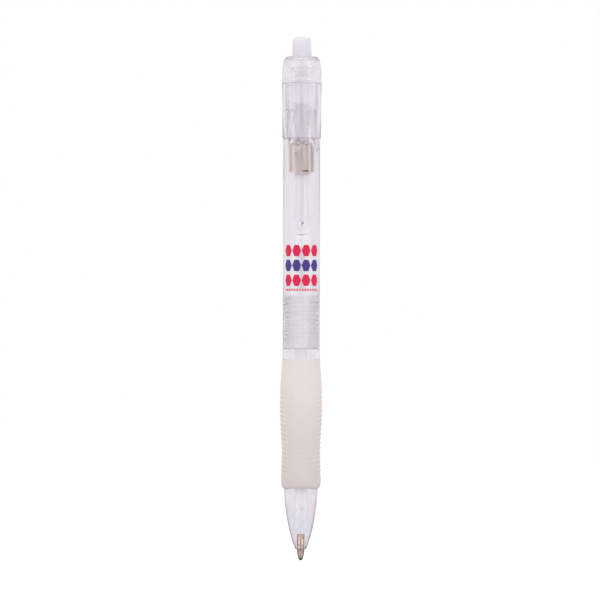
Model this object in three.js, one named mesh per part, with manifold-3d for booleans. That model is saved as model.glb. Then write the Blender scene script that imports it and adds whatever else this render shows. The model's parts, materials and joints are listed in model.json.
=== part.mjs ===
/**
 * A retractable pen with a clear body, built from its separate pieces.
 *
 * Millimetres, +Z up. The pen stands point down with its clip towards -Y, and its point is out, as when it
 * writes. The origin is on the pen's axis, halfway up the rubber grip. Inside the pen's group, heights are
 * counted from the lowest point of the ball, and angles about the axis from the clip's side towards +X.
 */
import * as THREE from 'three';
import { mergeVertices } from 'three/addons/utils/BufferGeometryUtils.js';
import Module from 'manifold-3d';

const wasm = await Module();
wasm.setup();

// Fits between pieces
const SEAT_GAP = 0.05; // between faces pressed together
const SEAM_GAP = 0.12; // the open line between the two barrels
const PRESS_GAP = 0.1; // all round, between pieces pushed into one another
const RUN_GAP = 0.3; // between pieces that slide or turn past one another

// Motion
const TRAVEL = 4.0; // how far the point draws back
const OVERTRAVEL = 1.2; // how far the button goes past the point's place when it is pressed
const LATCH_ANGLE = 45; // how far the rotor turns while the point draws back, in degrees

// Metal point and its ball
const BALL_RADIUS = 0.5;
const BALL_GAP = 0.03; // between the ball and its cup
const BALL_REACH = 0.3; // how far the ball stands out of the cup
const RIM_RADIUS = 0.54;
const CONE_RADIUS = 0.93;
const CONE_LENGTH = 1.3;
const POINT_RADIUS = 1.03;
const POINT_SWELL = 1.25; // length over which the cone rounds into the straight part
const POINT_LENGTH = 7.13; // ball to shoulder
const GROOVE_HEIGHTS = [3.1, 4.2];
const GROOVE_WIDTH = 0.2;
const GROOVE_DEPTH = 0.07;
const FEED_RADIUS = 0.2; // the ink's way through the point
const SHANK_RADIUS = 0.75;
const SHANK_LENGTH = 3.4;

// Socket that joins the point to the tube
const SOCKET_RADIUS = 1.1;
const SOCKET_FRONT = 1.45;
const SOCKET_CONE = 2.4;
const SOCKET_CONE_RADIUS = 1.35;
const SOCKET_FLARE = 3.0; // from the cone to the tube's full width
const PLUG_LENGTH = 4.0; // held inside the tube
const INK_WAY_RADIUS = 0.5;

// Refill tube, its stop ring and what it holds
const TUBE_RADIUS = 1.5;
const TUBE_WALL = 0.45;
const STOP_RADIUS = 2.3;
const STOP_THICKNESS = 1.0;
const INK_HEADROOM = 16.95; // tube left free above the ink
const FOLLOWER_LENGTH = 3.7;

// Return spring
const SPRING_SEAT = 20.0; // height of its seat above the nose's front face
const SPRING_LENGTH = 15.0;
const SPRING_RADIUS = 2.1; // to the middle of the wire
const WIRE_RADIUS = 0.2;
const SPRING_TURNS = 12;
const END_TURNS = 1; // turns that are wound closer at each end
const END_PITCH = 0.9;

// Front barrel: nose, core, collar and threaded tenon
const POINT_REACH = 3.02; // how far the point stands out of the nose
const NOSE_RADIUS = 1.5;
const NOSE_LENGTH = 16.34;
const NOSE_SWELL_RISE = 6.4; // where the nose's front and back slopes would meet
const NOSE_SWELL_RADIUS = 4.0;
const NOSE_BACK_RADIUS = 4.62;
const NOSE_HOLE_LENGTH = 2.3;
const NOSE_CONE_LENGTH = 3.5;
const GUIDE_GAP = 0.22; // round the point in the nose's hole, and round the tube behind it
const CORE_RADIUS = 4.1;
const CORE_BORE = 2.7;
const COLLAR_RADIUS = 5.06;
const COLLAR_LENGTH = 3.14;
const COLLAR_ROUND = 0.3;

// Thread between the two barrels, right-handed
const THREAD_PITCH = 1.2;
const THREAD_TURNS = 10;
const THREAD_START = 0.5; // above the collar
const THREAD_RADIUS = 4.1; // crest of the tenon's thread
const THREAD_DEPTH = 0.3;
const THREAD_GAP = 0.15;
const TENON_END = 0.36; // plain end past the thread

// Rubber grip, as height above its lower end and radius
const GRIP_LENGTH = 34.74;
const GRIP_OUTLINE = [
  [0.0, 4.72],
  [0.75, 5.24],
  [2.4, 5.34],
  [4.6, 5.37],
  [9.0, 5.25],
  [13.0, 5.35],
  [17.2, 5.62],
  [21.7, 5.75],
  [25.0, 5.69],
  [29.3, 5.47],
  [32.6, 5.23],
  [34.74, 5.12],
];
const RIB_START = 3.6; // above the grip's lower end
const RIB_COUNT = 18;
const RIB_PITCH = 1.24;
const RIB_DEPTH = 0.22;
const RIB_SPAN = 50; // ribbed to either side of each flank's middle, in degrees

// Upper barrel with the cam ribs in its neck
const BARREL_RADIUS = 5.0;
const BARREL_LENGTH = 56.44;
const BARREL_BORE = 3.7;
const BARREL_CHAMFER = 0.2;
const NECK_RADIUS = 4.45;
const NECK_LENGTH = 7.7;
const RIB_GUIDES = 4; // cam ribs, rotor keys and plunger splines each
const CAM_RIB_RADIUS = 2.9;
const CAM_RIB_HALF = 24; // degrees
const CAM_DROP = 3.4; // the latching edge below the barrel's top
const CAM_RIB_RELIEF = 0.2; // the ribs stop this far below the neck's end

// Rotor
const ROTOR_LENGTH = 8.3;
const ROTOR_CORE = 2.6;
const KEY_RADIUS = 3.4;
const KEY_HALF = 10; // degrees
const KEY_FOOT = 0.5;
const RECESS_DEPTH = 1.2;
const PILOT_RADIUS = 1.2;
const PILOT_LENGTH = 3.6;
const CROWN_TEETH = 8;
const CROWN_DEPTH = 0.9;
const CROWN_RISE = 0.2; // crown above the keys' highest edge
const CROWN_GAP = 0.35;

// Plunger
const PLUNGER_RADIUS = 2.3;
const PLUNGER_BORE_PAST = 3.0; // the bore goes on this far past the rotor's pilot
const SPLINE_RADIUS = 3.4;
const SPLINE_HALF = 14; // degrees
const SPLINE_START = 1.75; // above the plunger's crown
const FLANGE_RADIUS = 3.25;
const FLANGE_LENGTH = 7.2;
const STEM_RADIUS = 1.6;
const STEM_LENGTH = 7.6;

// Push button
const BUTTON_RADIUS = 2.65; // up to the end cap's top
const BUTTON_TOP_RADIUS = 2.4; // tapered to this where its round begins
const BUTTON_ROUND = 1.0;
const BUTTON_REACH = 5.3; // above the end cap

// Cap sleeve and end cap
const CAP_SLEEVE_LENGTH = 14.8;
const CAP_FOOT_RADIUS = 5.17; // the sleeve's lower end
const CAP_RADIUS = 5.37; // its upper end
const CAP_RIM_RADIUS = 5.36;
const CAP_WALL_HEIGHT = 2.6; // straight part of the end cap's side
const CAP_BREAK_RADIUS = 5.27; // where its side turns in to the shoulder
const CAP_BREAK_DROP = 3.0; // below its top
const END_CAP_LENGTH = 7.15;
const SHOULDER_RADIUS = 4.93;
const SHOULDER_ROUND = 1.4;
const SHOULDER_SLANT = 0.5; // how far the top edge lies inside the shoulder
const ROOF_THICKNESS = 1.0;
const CAP_CAVITY = 3.8;
const CAP_TENON_LENGTH = 7.1;
const BUTTON_HOLE_GAP = 0.2;

// Clip
const CLIP_TOP_DROP = 3.0; // below the end cap's top
const CLIP_LENGTH = 45.3;
const CLIP_SPACE = 1.83; // between the blade and the cap sleeve
const CLIP_THICKNESS = 1.4;
const CLIP_TIP_LEAN = 0.3; // the blade's end is this much closer to the barrel
const CLIP_SHOULDER = 2.6; // radius of the bend at the top
const TONGUE_DROP = 0.5; // below the clip's top
const TONGUE_THICKNESS = 2.9;
const TONGUE_HALF_WIDTH = 2.2;
const TONGUE_SHORT = 0.15; // the tongue ends this far inside the end cap's wall
const PAD_GAP = 0.3; // between the pad and the barrel
const PAD_HEIGHT = 3.5; // above the clip's lower end
const PAD_LENGTH = 2.4;
const PAD_HALF_WIDTH = 0.9;
const CLIP_HALF_WIDTHS = [
  // distance above the clip's lower end, half width
  [2.5, 2.5],
  [8.0, 2.5],
  [13.0, 2.3],
  [18.0, 2.14],
  [26.7, 2.14],
  [31.0, 2.5],
  [35.6, 3.1],
  [40.0, 3.45],
  [45.3, 3.2],
];

// Depth of a block that is pushed right through the pen, to cut with
const THROUGH = 24;

// Facets
const SHELL_SIDES = 32;
const SMALL_SIDES = 20;
const FINE_SIDES = 16;
const CROWN_STEPS = 3; // facets to a crown tooth
const COIL_STEPS = 8;
const COIL_SIDES = 5;
const BALL_SIDES = 12;
const BALL_RINGS = 8;
const NOSE_STEPS = 8;
const CURVE_STEPS = 4; // facets to a rounded edge
const CUP_STEPS = 6;
const EDGE_STEPS = 20; // points along the clip's edge
const CAM_STEPS = 6; // facets along a cam rib's slanted end
const KEY_STEPS = 2; // facets across a key or a spline

// Heights above the ball, worked out from the sizes above
const noseFront = POINT_REACH;
const gripBottom = noseFront + NOSE_LENGTH;
const gripTop = gripBottom + GRIP_LENGTH;
const collarTop = gripTop + COLLAR_LENGTH;
const threadStart = collarTop + THREAD_START;
const threadEnd = threadStart + (THREAD_TURNS + 1) * THREAD_PITCH;
const tenonTop = threadEnd + TENON_END;
const barrelBottom = collarTop + SEAM_GAP;
const barrelTop = barrelBottom + BARREL_LENGTH;
const neckTop = barrelTop + NECK_LENGTH;
const camEdge = barrelTop - CAM_DROP;
const springSeat = noseFront + SPRING_SEAT;
const stopBottom = springSeat + SPRING_LENGTH + SEAT_GAP;
const socketBottom = POINT_LENGTH + SEAT_GAP;
const socketTop = socketBottom + SOCKET_FRONT + SOCKET_CONE + SOCKET_FLARE;
const tubeBottom = socketTop + SEAT_GAP;
const plugTop = socketTop + PLUG_LENGTH;
const camSlope = TRAVEL / THREE.MathUtils.degToRad(LATCH_ANGLE);
const keyHalf = THREE.MathUtils.degToRad(KEY_HALF);
const rotorTop = camEdge + 2 * keyHalf * camSlope + CROWN_RISE;
const rotorBottom = rotorTop - ROTOR_LENGTH;
const tubeTop = rotorBottom + RECESS_DEPTH - RUN_GAP;
const pilotTop = rotorTop + PILOT_LENGTH;
const plungerBottom = rotorTop + CROWN_GAP;
const flangeBottom = neckTop + OVERTRAVEL + RUN_GAP + PRESS_GAP;
const flangeTop = flangeBottom + FLANGE_LENGTH;
const sleeveBottom = barrelTop + SEAT_GAP;
const sleeveTop = sleeveBottom + CAP_SLEEVE_LENGTH;
const endCapBottom = sleeveTop + PRESS_GAP;
const endCapTop = endCapBottom + END_CAP_LENGTH;
const buttonTop = endCapTop + BUTTON_REACH;
const clipTop = endCapTop - CLIP_TOP_DROP;
const clipBottom = clipTop - CLIP_LENGTH;
const tongueMiddle = clipTop - TONGUE_DROP - TONGUE_THICKNESS / 2;
const originHeight = (gripBottom + gripTop) / 2;

// A point at a radius, an angle and a height
function polar(radius, angle, height) {
  return new THREE.Vector3(radius * Math.sin(angle), -radius * Math.cos(angle), height);
}

// Six times the signed volume that the faces enclose
function signedVolume(geometry) {
  const place = geometry.attributes.position;
  const corners = geometry.index.array;
  const [a, b, c] = [new THREE.Vector3(), new THREE.Vector3(), new THREE.Vector3()];
  let sum = 0;
  for (let i = 0; i < corners.length; i += 3) {
    a.fromBufferAttribute(place, corners[i]);
    b.fromBufferAttribute(place, corners[i + 1]);
    c.fromBufferAttribute(place, corners[i + 2]);
    sum += a.dot(b.cross(c));
  }
  return sum;
}

// The shape as one closed mesh: shared corners merged, collapsed faces dropped, faces pointing out
function closed(geometry) {
  const bare = geometry.clone();
  bare.deleteAttribute('normal');
  bare.deleteAttribute('uv');
  const merged = mergeVertices(bare, 1e-4);
  const corners = merged.index.array;
  const faces = [];
  for (let i = 0; i < corners.length; i += 3) {
    const [a, b, c] = [corners[i], corners[i + 1], corners[i + 2]];
    if (a !== b && b !== c && c !== a) faces.push([a, b, c]);
  }
  merged.setIndex(faces.flat());
  if (signedVolume(merged) < 0) merged.setIndex(faces.flatMap(([a, b, c]) => [a, c, b]));
  return merged;
}

// Points and faces as a closed mesh
function fromFaces(points, faces) {
  const geometry = new THREE.BufferGeometry();
  geometry.setAttribute('position', new THREE.Float32BufferAttribute(points.flatMap((p) => p.toArray()), 3));
  geometry.setIndex(faces.flat());
  return closed(geometry);
}

// A [radius, height] outline turned about the axis; it closes on itself or starts and ends on the axis
function turned(outline, sides) {
  const profile = outline.map(([radius, height]) => new THREE.Vector2(radius, height));
  return closed(new THREE.LatheGeometry(profile, sides).rotateX(Math.PI / 2));
}

// A closed outline turned about the axis, with its first point repeated at the end
function turnedRing(outline, sides) {
  return turned([...outline, outline[0]], sides);
}

// Skin over a row of sections with the same number of corners, joined into a ring or capped at both ends
function lofted(sections, joined) {
  const corners = sections[0].length;
  const faces = [];
  const last = joined ? sections.length : sections.length - 1;
  for (let i = 0; i < last; i += 1) {
    const here = i * corners;
    const next = ((i + 1) % sections.length) * corners;
    for (let k = 0; k < corners; k += 1) {
      const after = (k + 1) % corners;
      faces.push([here + k, next + k, next + after], [here + k, next + after, here + after]);
    }
  }
  if (!joined) {
    const end = (sections.length - 1) * corners;
    for (let k = 1; k < corners - 1; k += 1) {
      faces.push([0, k, k + 1], [end, end + k + 1, end + k]);
    }
  }
  return fromFaces(sections.flat(), faces);
}

// An outline turned about the axis that changes from facet to facet, given by outlineAt as [radius, height]
function turnedBy(outlineAt, sides) {
  const sections = [];
  for (let i = 0; i < sides; i += 1) {
    const angle = (i / sides) * 2 * Math.PI;
    sections.push(outlineAt(i, angle).map(([radius, height]) => polar(radius, angle, height)));
  }
  return lofted(sections, true);
}

// A block bent about the axis from angle -half to half round middle; its ends follow heights of the angle
function bentBlock({ inner, outer, middle, half, bottomAt, topAt, steps }) {
  const sections = [];
  for (let i = 0; i <= steps; i += 1) {
    const offset = -half + (2 * half * i) / steps;
    const angle = middle + offset;
    const [bottom, top] = [bottomAt(offset), topAt(offset)];
    sections.push([
      polar(inner, angle, bottom),
      polar(outer, angle, bottom),
      polar(outer, angle, top),
      polar(inner, angle, top),
    ]);
  }
  return lofted(sections, false);
}

// A turned body with a helical thread on it; before and after are the outline's [radius, height] points on
// either side of the thread, which runs upwards from start, two rows of corners to a turn
function threaded({ before, after, root, crest, start }) {
  const sides = SHELL_SIDES;
  const points = [];
  const faces = [];
  const ring = ([radius, height]) => {
    const first = points.length;
    for (let i = 0; i < sides; i += 1) points.push(polar(radius, (i / sides) * 2 * Math.PI, height));
    return first;
  };
  const band = (low, high) => {
    for (let i = 0; i < sides; i += 1) {
      const next = (i + 1) % sides;
      faces.push([low + i, low + next, high + next], [low + i, high + next, high + i]);
    }
  };
  const lower = before.map(ring);
  for (let i = 1; i < lower.length; i += 1) band(lower[i - 1], lower[i]);
  // The row past the last holds only the thread's end, where it meets the seam of the turns
  const rows = 2 * THREAD_TURNS;
  const thread = points.length;
  const corner = (row, i) => {
    const [r, k] = i === sides ? [row + 2, 0] : [row, i];
    return r <= rows ? thread + r * sides + k : thread + (rows + 1) * sides + (r - rows - 1);
  };
  const threadPoint = (row, i) =>
    polar(row % 2 ? crest : root, (i / sides) * 2 * Math.PI, start + THREAD_PITCH * (row / 2 + i / sides));
  for (let row = 0; row <= rows; row += 1) {
    for (let i = 0; i < sides; i += 1) points.push(threadPoint(row, i));
  }
  points.push(threadPoint(rows + 1, 0), threadPoint(rows + 2, 0));
  for (let row = 0; row < rows; row += 1) {
    for (let i = 0; i < sides; i += 1) {
      faces.push([corner(row, i), corner(row, i + 1), corner(row + 1, i + 1)]);
      faces.push([corner(row, i), corner(row + 1, i + 1), corner(row + 1, i)]);
    }
  }
  faces.push([corner(0, 0), corner(1, 0), corner(2, 0)]);
  faces.push([corner(rows, 0), corner(rows + 2, 0), corner(rows + 1, 0)]);
  const foot = lower[lower.length - 1];
  for (let i = 0; i < sides - 1; i += 1) {
    faces.push([foot + i, foot + i + 1, corner(0, i + 1)], [foot + i, corner(0, i + 1), corner(0, i)]);
  }
  const seam = sides - 1;
  faces.push([foot + seam, foot, corner(0, 0)]);
  faces.push([foot + seam, corner(0, 0), corner(2, 0)]);
  faces.push([foot + seam, corner(2, 0), corner(0, seam)]);
  const upper = after.map(ring);
  const head = upper[0];
  for (let i = 1; i < sides - 1; i += 1) {
    faces.push([corner(rows, i), corner(rows, i + 1), head + i + 1]);
    faces.push([corner(rows, i), head + i + 1, head + i]);
  }
  faces.push([corner(rows, 1), head + 1, head]);
  faces.push([corner(rows, 1), head, corner(rows + 2, 0)]);
  faces.push([corner(rows, 1), corner(rows + 2, 0), corner(rows, 0)]);
  faces.push([corner(rows, seam), corner(rows + 2, 0), head], [corner(rows, seam), head, head + seam]);
  for (let i = 1; i < upper.length; i += 1) band(upper[i - 1], upper[i]);
  band(upper[upper.length - 1], lower[0]);
  return fromFaces(points, faces);
}

// A closed mesh as a solid for joining and cutting, and back
function solid(geometry) {
  const mesh = closed(geometry);
  return new wasm.Manifold(
    new wasm.Mesh({
      numProp: 3,
      vertProperties: new Float32Array(mesh.attributes.position.array),
      triVerts: new Uint32Array(mesh.index.array),
    }),
  );
}

function surface(body) {
  const mesh = body.getMesh();
  const geometry = new THREE.BufferGeometry();
  geometry.setAttribute('position', new THREE.BufferAttribute(mesh.vertProperties, 3));
  geometry.setIndex(new THREE.BufferAttribute(mesh.triVerts, 1));
  return geometry;
}

// A base shape with copies of a bent block joined to it, spread evenly about the axis
function withBlocks(base, firstAngle, block) {
  let body = solid(base);
  for (let i = 0; i < RIB_GUIDES; i += 1) {
    const middle = firstAngle + (i / RIB_GUIDES) * 2 * Math.PI;
    body = body.add(solid(bentBlock({ ...block, middle })));
  }
  return surface(body);
}

// Points of an arc about [radius, height], from one angle to another, measured from straight up
function arc(radius, height, size, from, to, steps) {
  const points = [];
  for (let i = 0; i <= steps; i += 1) {
    const angle = from + ((to - from) * i) / steps;
    points.push([radius + size * Math.sin(angle), height + size * Math.cos(angle)]);
  }
  return points;
}

// The metal point, a turned piece with the ball's cup, the ink's way and a shank
function writingPoint() {
  const cup = BALL_RADIUS + BALL_GAP;
  const rimDrop = BALL_RADIUS - BALL_REACH;
  const coneTop = BALL_REACH + CONE_LENGTH;
  const grooves = GROOVE_HEIGHTS.flatMap((height) => [
    [POINT_RADIUS, height - GROOVE_WIDTH / 2],
    [POINT_RADIUS - GROOVE_DEPTH, height - GROOVE_WIDTH / 4],
    [POINT_RADIUS - GROOVE_DEPTH, height + GROOVE_WIDTH / 4],
    [POINT_RADIUS, height + GROOVE_WIDTH / 2],
  ]);
  const outline = [
    [RIM_RADIUS, BALL_REACH],
    [CONE_RADIUS, coneTop],
    [(CONE_RADIUS + 2 * POINT_RADIUS) / 3, coneTop + POINT_SWELL / 2],
    [POINT_RADIUS, coneTop + POINT_SWELL],
    ...grooves,
    [POINT_RADIUS, POINT_LENGTH],
    [SHANK_RADIUS, POINT_LENGTH],
    [SHANK_RADIUS, POINT_LENGTH + SHANK_LENGTH],
    [FEED_RADIUS, POINT_LENGTH + SHANK_LENGTH],
    ...arc(0, BALL_RADIUS, cup, Math.asin(FEED_RADIUS / cup), Math.PI - Math.acos(rimDrop / cup), CUP_STEPS),
  ];
  return turnedRing(outline, SMALL_SIDES);
}

// The writing ball
function pointBall() {
  const ball = new THREE.SphereGeometry(BALL_RADIUS, BALL_SIDES, BALL_RINGS);
  return closed(ball.rotateX(Math.PI / 2).translate(0, 0, BALL_RADIUS));
}

// The socket: it carries the point's shank in front and plugs into the tube behind
function pointSocket() {
  const shankTop = POINT_LENGTH + SHANK_LENGTH + RUN_GAP;
  const coneBottom = socketBottom + SOCKET_FRONT;
  const plugRadius = TUBE_RADIUS - TUBE_WALL - PRESS_GAP;
  return turnedRing(
    [
      [SHANK_RADIUS + PRESS_GAP, socketBottom],
      [SOCKET_RADIUS, socketBottom],
      [SOCKET_RADIUS, coneBottom],
      [SOCKET_CONE_RADIUS, coneBottom + SOCKET_CONE],
      [TUBE_RADIUS, socketTop],
      [plugRadius, socketTop],
      [plugRadius, plugTop],
      [INK_WAY_RADIUS, plugTop],
      [INK_WAY_RADIUS, shankTop],
      [SHANK_RADIUS + PRESS_GAP, shankTop],
    ],
    SMALL_SIDES,
  );
}

// The refill tube, open at both ends, with the ring that the spring pushes on
function refillTube() {
  const stopTop = stopBottom + STOP_THICKNESS;
  return turnedRing(
    [
      [TUBE_RADIUS - TUBE_WALL, tubeBottom],
      [TUBE_RADIUS, tubeBottom],
      [TUBE_RADIUS, stopBottom],
      [STOP_RADIUS, stopBottom],
      [STOP_RADIUS, stopTop],
      [TUBE_RADIUS, stopTop],
      [TUBE_RADIUS, tubeTop],
      [TUBE_RADIUS - TUBE_WALL, tubeTop],
    ],
    SMALL_SIDES,
  );
}

// A plain filling of the tube between two heights
function tubeFilling(bottom, length) {
  const radius = TUBE_RADIUS - TUBE_WALL - PRESS_GAP;
  return turned(
    [
      [0, bottom],
      [radius, bottom],
      [radius, bottom + length],
      [0, bottom + length],
    ],
    FINE_SIDES,
  );
}

const inkBottom = plugTop + RUN_GAP;
const inkTop = tubeTop - INK_HEADROOM;
const inkColumn = () => tubeFilling(inkBottom, inkTop - inkBottom);
const inkFollower = () => tubeFilling(inkTop + RUN_GAP, FOLLOWER_LENGTH);

// Middle of the spring's wire, from the first turn to the last, with the end turns wound closer
function springPath() {
  const rise = SPRING_LENGTH - 2 * (WIRE_RADIUS + SEAT_GAP);
  const endRise = END_TURNS * END_PITCH;
  const middleTurns = SPRING_TURNS - 2 * END_TURNS;
  const points = [];
  for (let i = 0; i <= SPRING_TURNS * COIL_STEPS; i += 1) {
    const turn = i / COIL_STEPS;
    const middle = THREE.MathUtils.clamp((turn - END_TURNS) / middleTurns, 0, 1);
    const ends = Math.min(turn, END_TURNS) + Math.max(0, turn - SPRING_TURNS + END_TURNS);
    const height = ends * END_PITCH + middle * (rise - 2 * endRise);
    points.push(polar(SPRING_RADIUS, turn * 2 * Math.PI, springSeat + SEAT_GAP + WIRE_RADIUS + height));
  }
  return points;
}

// The return spring as one unbroken wire
function returnSpring() {
  const path = springPath();
  const sections = path.map((point, i) => {
    const before = path[Math.max(0, i - 1)];
    const after = path[Math.min(path.length - 1, i + 1)];
    const along = after.clone().sub(before).normalize();
    const out = new THREE.Vector3(point.x, point.y, 0).normalize();
    const side = along.clone().cross(out).normalize();
    const corners = [];
    for (let k = 0; k < COIL_SIDES; k += 1) {
      const angle = (k / COIL_SIDES) * 2 * Math.PI;
      corners.push(
        point
          .clone()
          .addScaledVector(out, WIRE_RADIUS * Math.cos(angle))
          .addScaledVector(side, WIRE_RADIUS * Math.sin(angle)),
      );
    }
    return corners;
  });
  return lofted(sections, false);
}

// The least gap between two turns of the spring, measured on the points of its wire's middle
function leastCoilGap() {
  const path = springPath();
  let least = Infinity;
  for (let i = 0; i < path.length; i += 1) {
    for (let k = i + COIL_STEPS / 2; k < path.length; k += 1) {
      least = Math.min(least, path[i].distanceTo(path[k]) - 2 * WIRE_RADIUS);
    }
  }
  return least;
}

// Points of the nose's outside, a curve through its two slopes
function noseOutline() {
  const curve = new THREE.QuadraticBezierCurve(
    new THREE.Vector2(NOSE_RADIUS, noseFront),
    new THREE.Vector2(NOSE_SWELL_RADIUS, noseFront + NOSE_SWELL_RISE),
    new THREE.Vector2(NOSE_BACK_RADIUS, gripBottom),
  );
  return curve.getPoints(NOSE_STEPS).map((point) => [point.x, point.y]);
}

// The front barrel: clear nose, core under the grip, collar and threaded tenon in one moulding
function frontBarrel() {
  const holeRadius = POINT_RADIUS + GUIDE_GAP;
  const guideRadius = TUBE_RADIUS + GUIDE_GAP;
  const holeTop = noseFront + NOSE_HOLE_LENGTH;
  const guideBottom = holeTop + NOSE_CONE_LENGTH;
  const rootRadius = THREAD_RADIUS - THREAD_DEPTH;
  const collarEdge = arc(
    COLLAR_RADIUS - COLLAR_ROUND,
    collarTop - COLLAR_ROUND,
    COLLAR_ROUND,
    Math.PI / 2,
    0,
    CURVE_STEPS,
  );
  return threaded({
    before: [
      [CORE_BORE, springSeat],
      [guideRadius, springSeat],
      [guideRadius, guideBottom],
      [holeRadius, holeTop],
      [holeRadius, noseFront],
      ...noseOutline(),
      [CORE_RADIUS, gripBottom],
      [CORE_RADIUS, gripTop],
      [COLLAR_RADIUS, gripTop],
      ...collarEdge,
      [rootRadius, collarTop],
    ],
    after: [
      [rootRadius, tenonTop],
      [CORE_BORE, tenonTop],
    ],
    root: rootRadius,
    crest: THREAD_RADIUS,
    start: threadStart,
  });
}

// How deep the ribbing cuts at a height above the grip's lower end, from 0 on a rib to 1 between two
function ribbing(rise) {
  const turn = (rise - RIB_START) / RIB_PITCH;
  if (turn < 0 || turn > RIB_COUNT) return 0;
  return 1 - Math.abs(2 * (turn % 1) - 1);
}

// The rubber grip: a waisted sleeve with ribs across both flanks
function rubberGrip() {
  const marks = GRIP_OUTLINE.map(([rise, radius]) => new THREE.Vector2(rise, radius));
  const outline = new THREE.SplineCurve(marks);
  const radiusAt = (rise) => {
    let [low, high] = [0, 1];
    for (let i = 0; i < 30; i += 1) {
      const middle = (low + high) / 2;
      if (outline.getPoint(middle).x < rise) low = middle;
      else high = middle;
    }
    return outline.getPoint(low).y;
  };
  const scale = GRIP_LENGTH / GRIP_OUTLINE[GRIP_OUTLINE.length - 1][0];
  const ribsEnd = RIB_START + RIB_COUNT * RIB_PITCH;
  const rises = [0, GRIP_OUTLINE[1][0] / 2, GRIP_OUTLINE[1][0], GRIP_OUTLINE[2][0]];
  for (let i = 0; i <= 2 * RIB_COUNT; i += 1) rises.push(RIB_START + (i * RIB_PITCH) / 2);
  for (let i = 1; i <= 4; i += 1) rises.push(ribsEnd + ((GRIP_LENGTH - ribsEnd) * i) / 4);
  const [bottom, top] = [gripBottom + SEAT_GAP, gripTop - SEAT_GAP];
  const heightAt = (rise) => bottom + ((top - bottom) * rise) / GRIP_LENGTH;
  const inner = CORE_RADIUS + SEAT_GAP;
  const span = THREE.MathUtils.degToRad(RIB_SPAN);
  const outlineAt = (i, angle) => {
    const offFlank = Math.abs(Math.abs(angle - Math.PI) - Math.PI / 2);
    const depth = offFlank < span ? RIB_DEPTH : 0;
    const outer = rises.map((rise) => [radiusAt(rise / scale) - depth * ribbing(rise), heightAt(rise)]);
    return [...outer, [inner, top], [inner, bottom]];
  };
  return turnedBy(outlineAt, SHELL_SIDES);
}

// The upper barrel: internal thread at its foot, plain tube, and a neck with the cam ribs inside
function upperBarrel() {
  const minor = THREAD_RADIUS - THREAD_DEPTH + THREAD_GAP;
  const major = THREAD_RADIUS + THREAD_GAP;
  const shell = threaded({
    before: [
      [NECK_RADIUS, neckTop],
      [NECK_RADIUS, barrelTop],
      [BARREL_RADIUS - BARREL_CHAMFER, barrelTop],
      [BARREL_RADIUS, barrelTop - BARREL_CHAMFER],
      [BARREL_RADIUS, barrelBottom + BARREL_CHAMFER],
      [BARREL_RADIUS - BARREL_CHAMFER, barrelBottom],
      [minor, barrelBottom],
    ],
    after: [
      [minor, tenonTop + RUN_GAP],
      [BARREL_BORE, tenonTop + RUN_GAP],
      [BARREL_BORE, neckTop],
    ],
    root: minor,
    crest: major,
    start: threadStart,
  });
  return withBlocks(shell, 0, {
    inner: CAM_RIB_RADIUS,
    outer: (BARREL_BORE + NECK_RADIUS) / 2,
    half: THREE.MathUtils.degToRad(CAM_RIB_HALF),
    bottomAt: (offset) => camEdge + camSlope * (offset + keyHalf) + RUN_GAP,
    topAt: () => neckTop - CAM_RIB_RELIEF,
    steps: CAM_STEPS,
  });
}

// How far a crown's saw teeth stand back from their tips, from 0 to 1, at each facet
const crownBack = (i) => (i % CROWN_STEPS) / (CROWN_STEPS - 1);

// The rotor: keys that ride under the cam ribs, a crown of teeth, and a pilot that runs in the plunger
function camRotor() {
  const recess = TUBE_RADIUS + RUN_GAP;
  const recessTop = rotorBottom + RECESS_DEPTH;
  const core = turnedBy((i) => {
    const crown = rotorTop - CROWN_DEPTH * crownBack(i);
    return [
      [recess, rotorBottom],
      [ROTOR_CORE, rotorBottom],
      [ROTOR_CORE, crown],
      [PILOT_RADIUS, crown],
      [PILOT_RADIUS, pilotTop],
      [0, pilotTop],
      [0, recessTop],
      [recess, recessTop],
    ];
  }, CROWN_TEETH * CROWN_STEPS);
  return withBlocks(core, 0, {
    inner: (recess + ROTOR_CORE) / 2,
    outer: KEY_RADIUS,
    half: keyHalf,
    bottomAt: () => rotorBottom + KEY_FOOT,
    topAt: (offset) => camEdge + camSlope * (offset + keyHalf),
    steps: KEY_STEPS,
  });
}

// The plunger: crown teeth over the rotor's, splines between the cam ribs, flange and stem for the button
function plunger() {
  const bore = PILOT_RADIUS + RUN_GAP;
  const boreTop = pilotTop + PLUNGER_BORE_PAST;
  const body = turnedBy((i) => {
    const crown = plungerBottom + CROWN_DEPTH * crownBack(i);
    return [
      [bore, crown],
      [PLUNGER_RADIUS, crown],
      [PLUNGER_RADIUS, flangeBottom],
      [FLANGE_RADIUS, flangeBottom],
      [FLANGE_RADIUS, flangeTop],
      [STEM_RADIUS, flangeTop],
      [STEM_RADIUS, flangeTop + STEM_LENGTH],
      [0, flangeTop + STEM_LENGTH],
      [0, boreTop],
      [bore, boreTop],
    ];
  }, CROWN_TEETH * CROWN_STEPS);
  return withBlocks(body, Math.PI / RIB_GUIDES, {
    inner: (bore + PLUNGER_RADIUS) / 2,
    outer: SPLINE_RADIUS,
    half: THREE.MathUtils.degToRad(SPLINE_HALF),
    bottomAt: () => plungerBottom + SPLINE_START,
    topAt: () => flangeBottom + RUN_GAP,
    steps: KEY_STEPS,
  });
}

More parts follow.
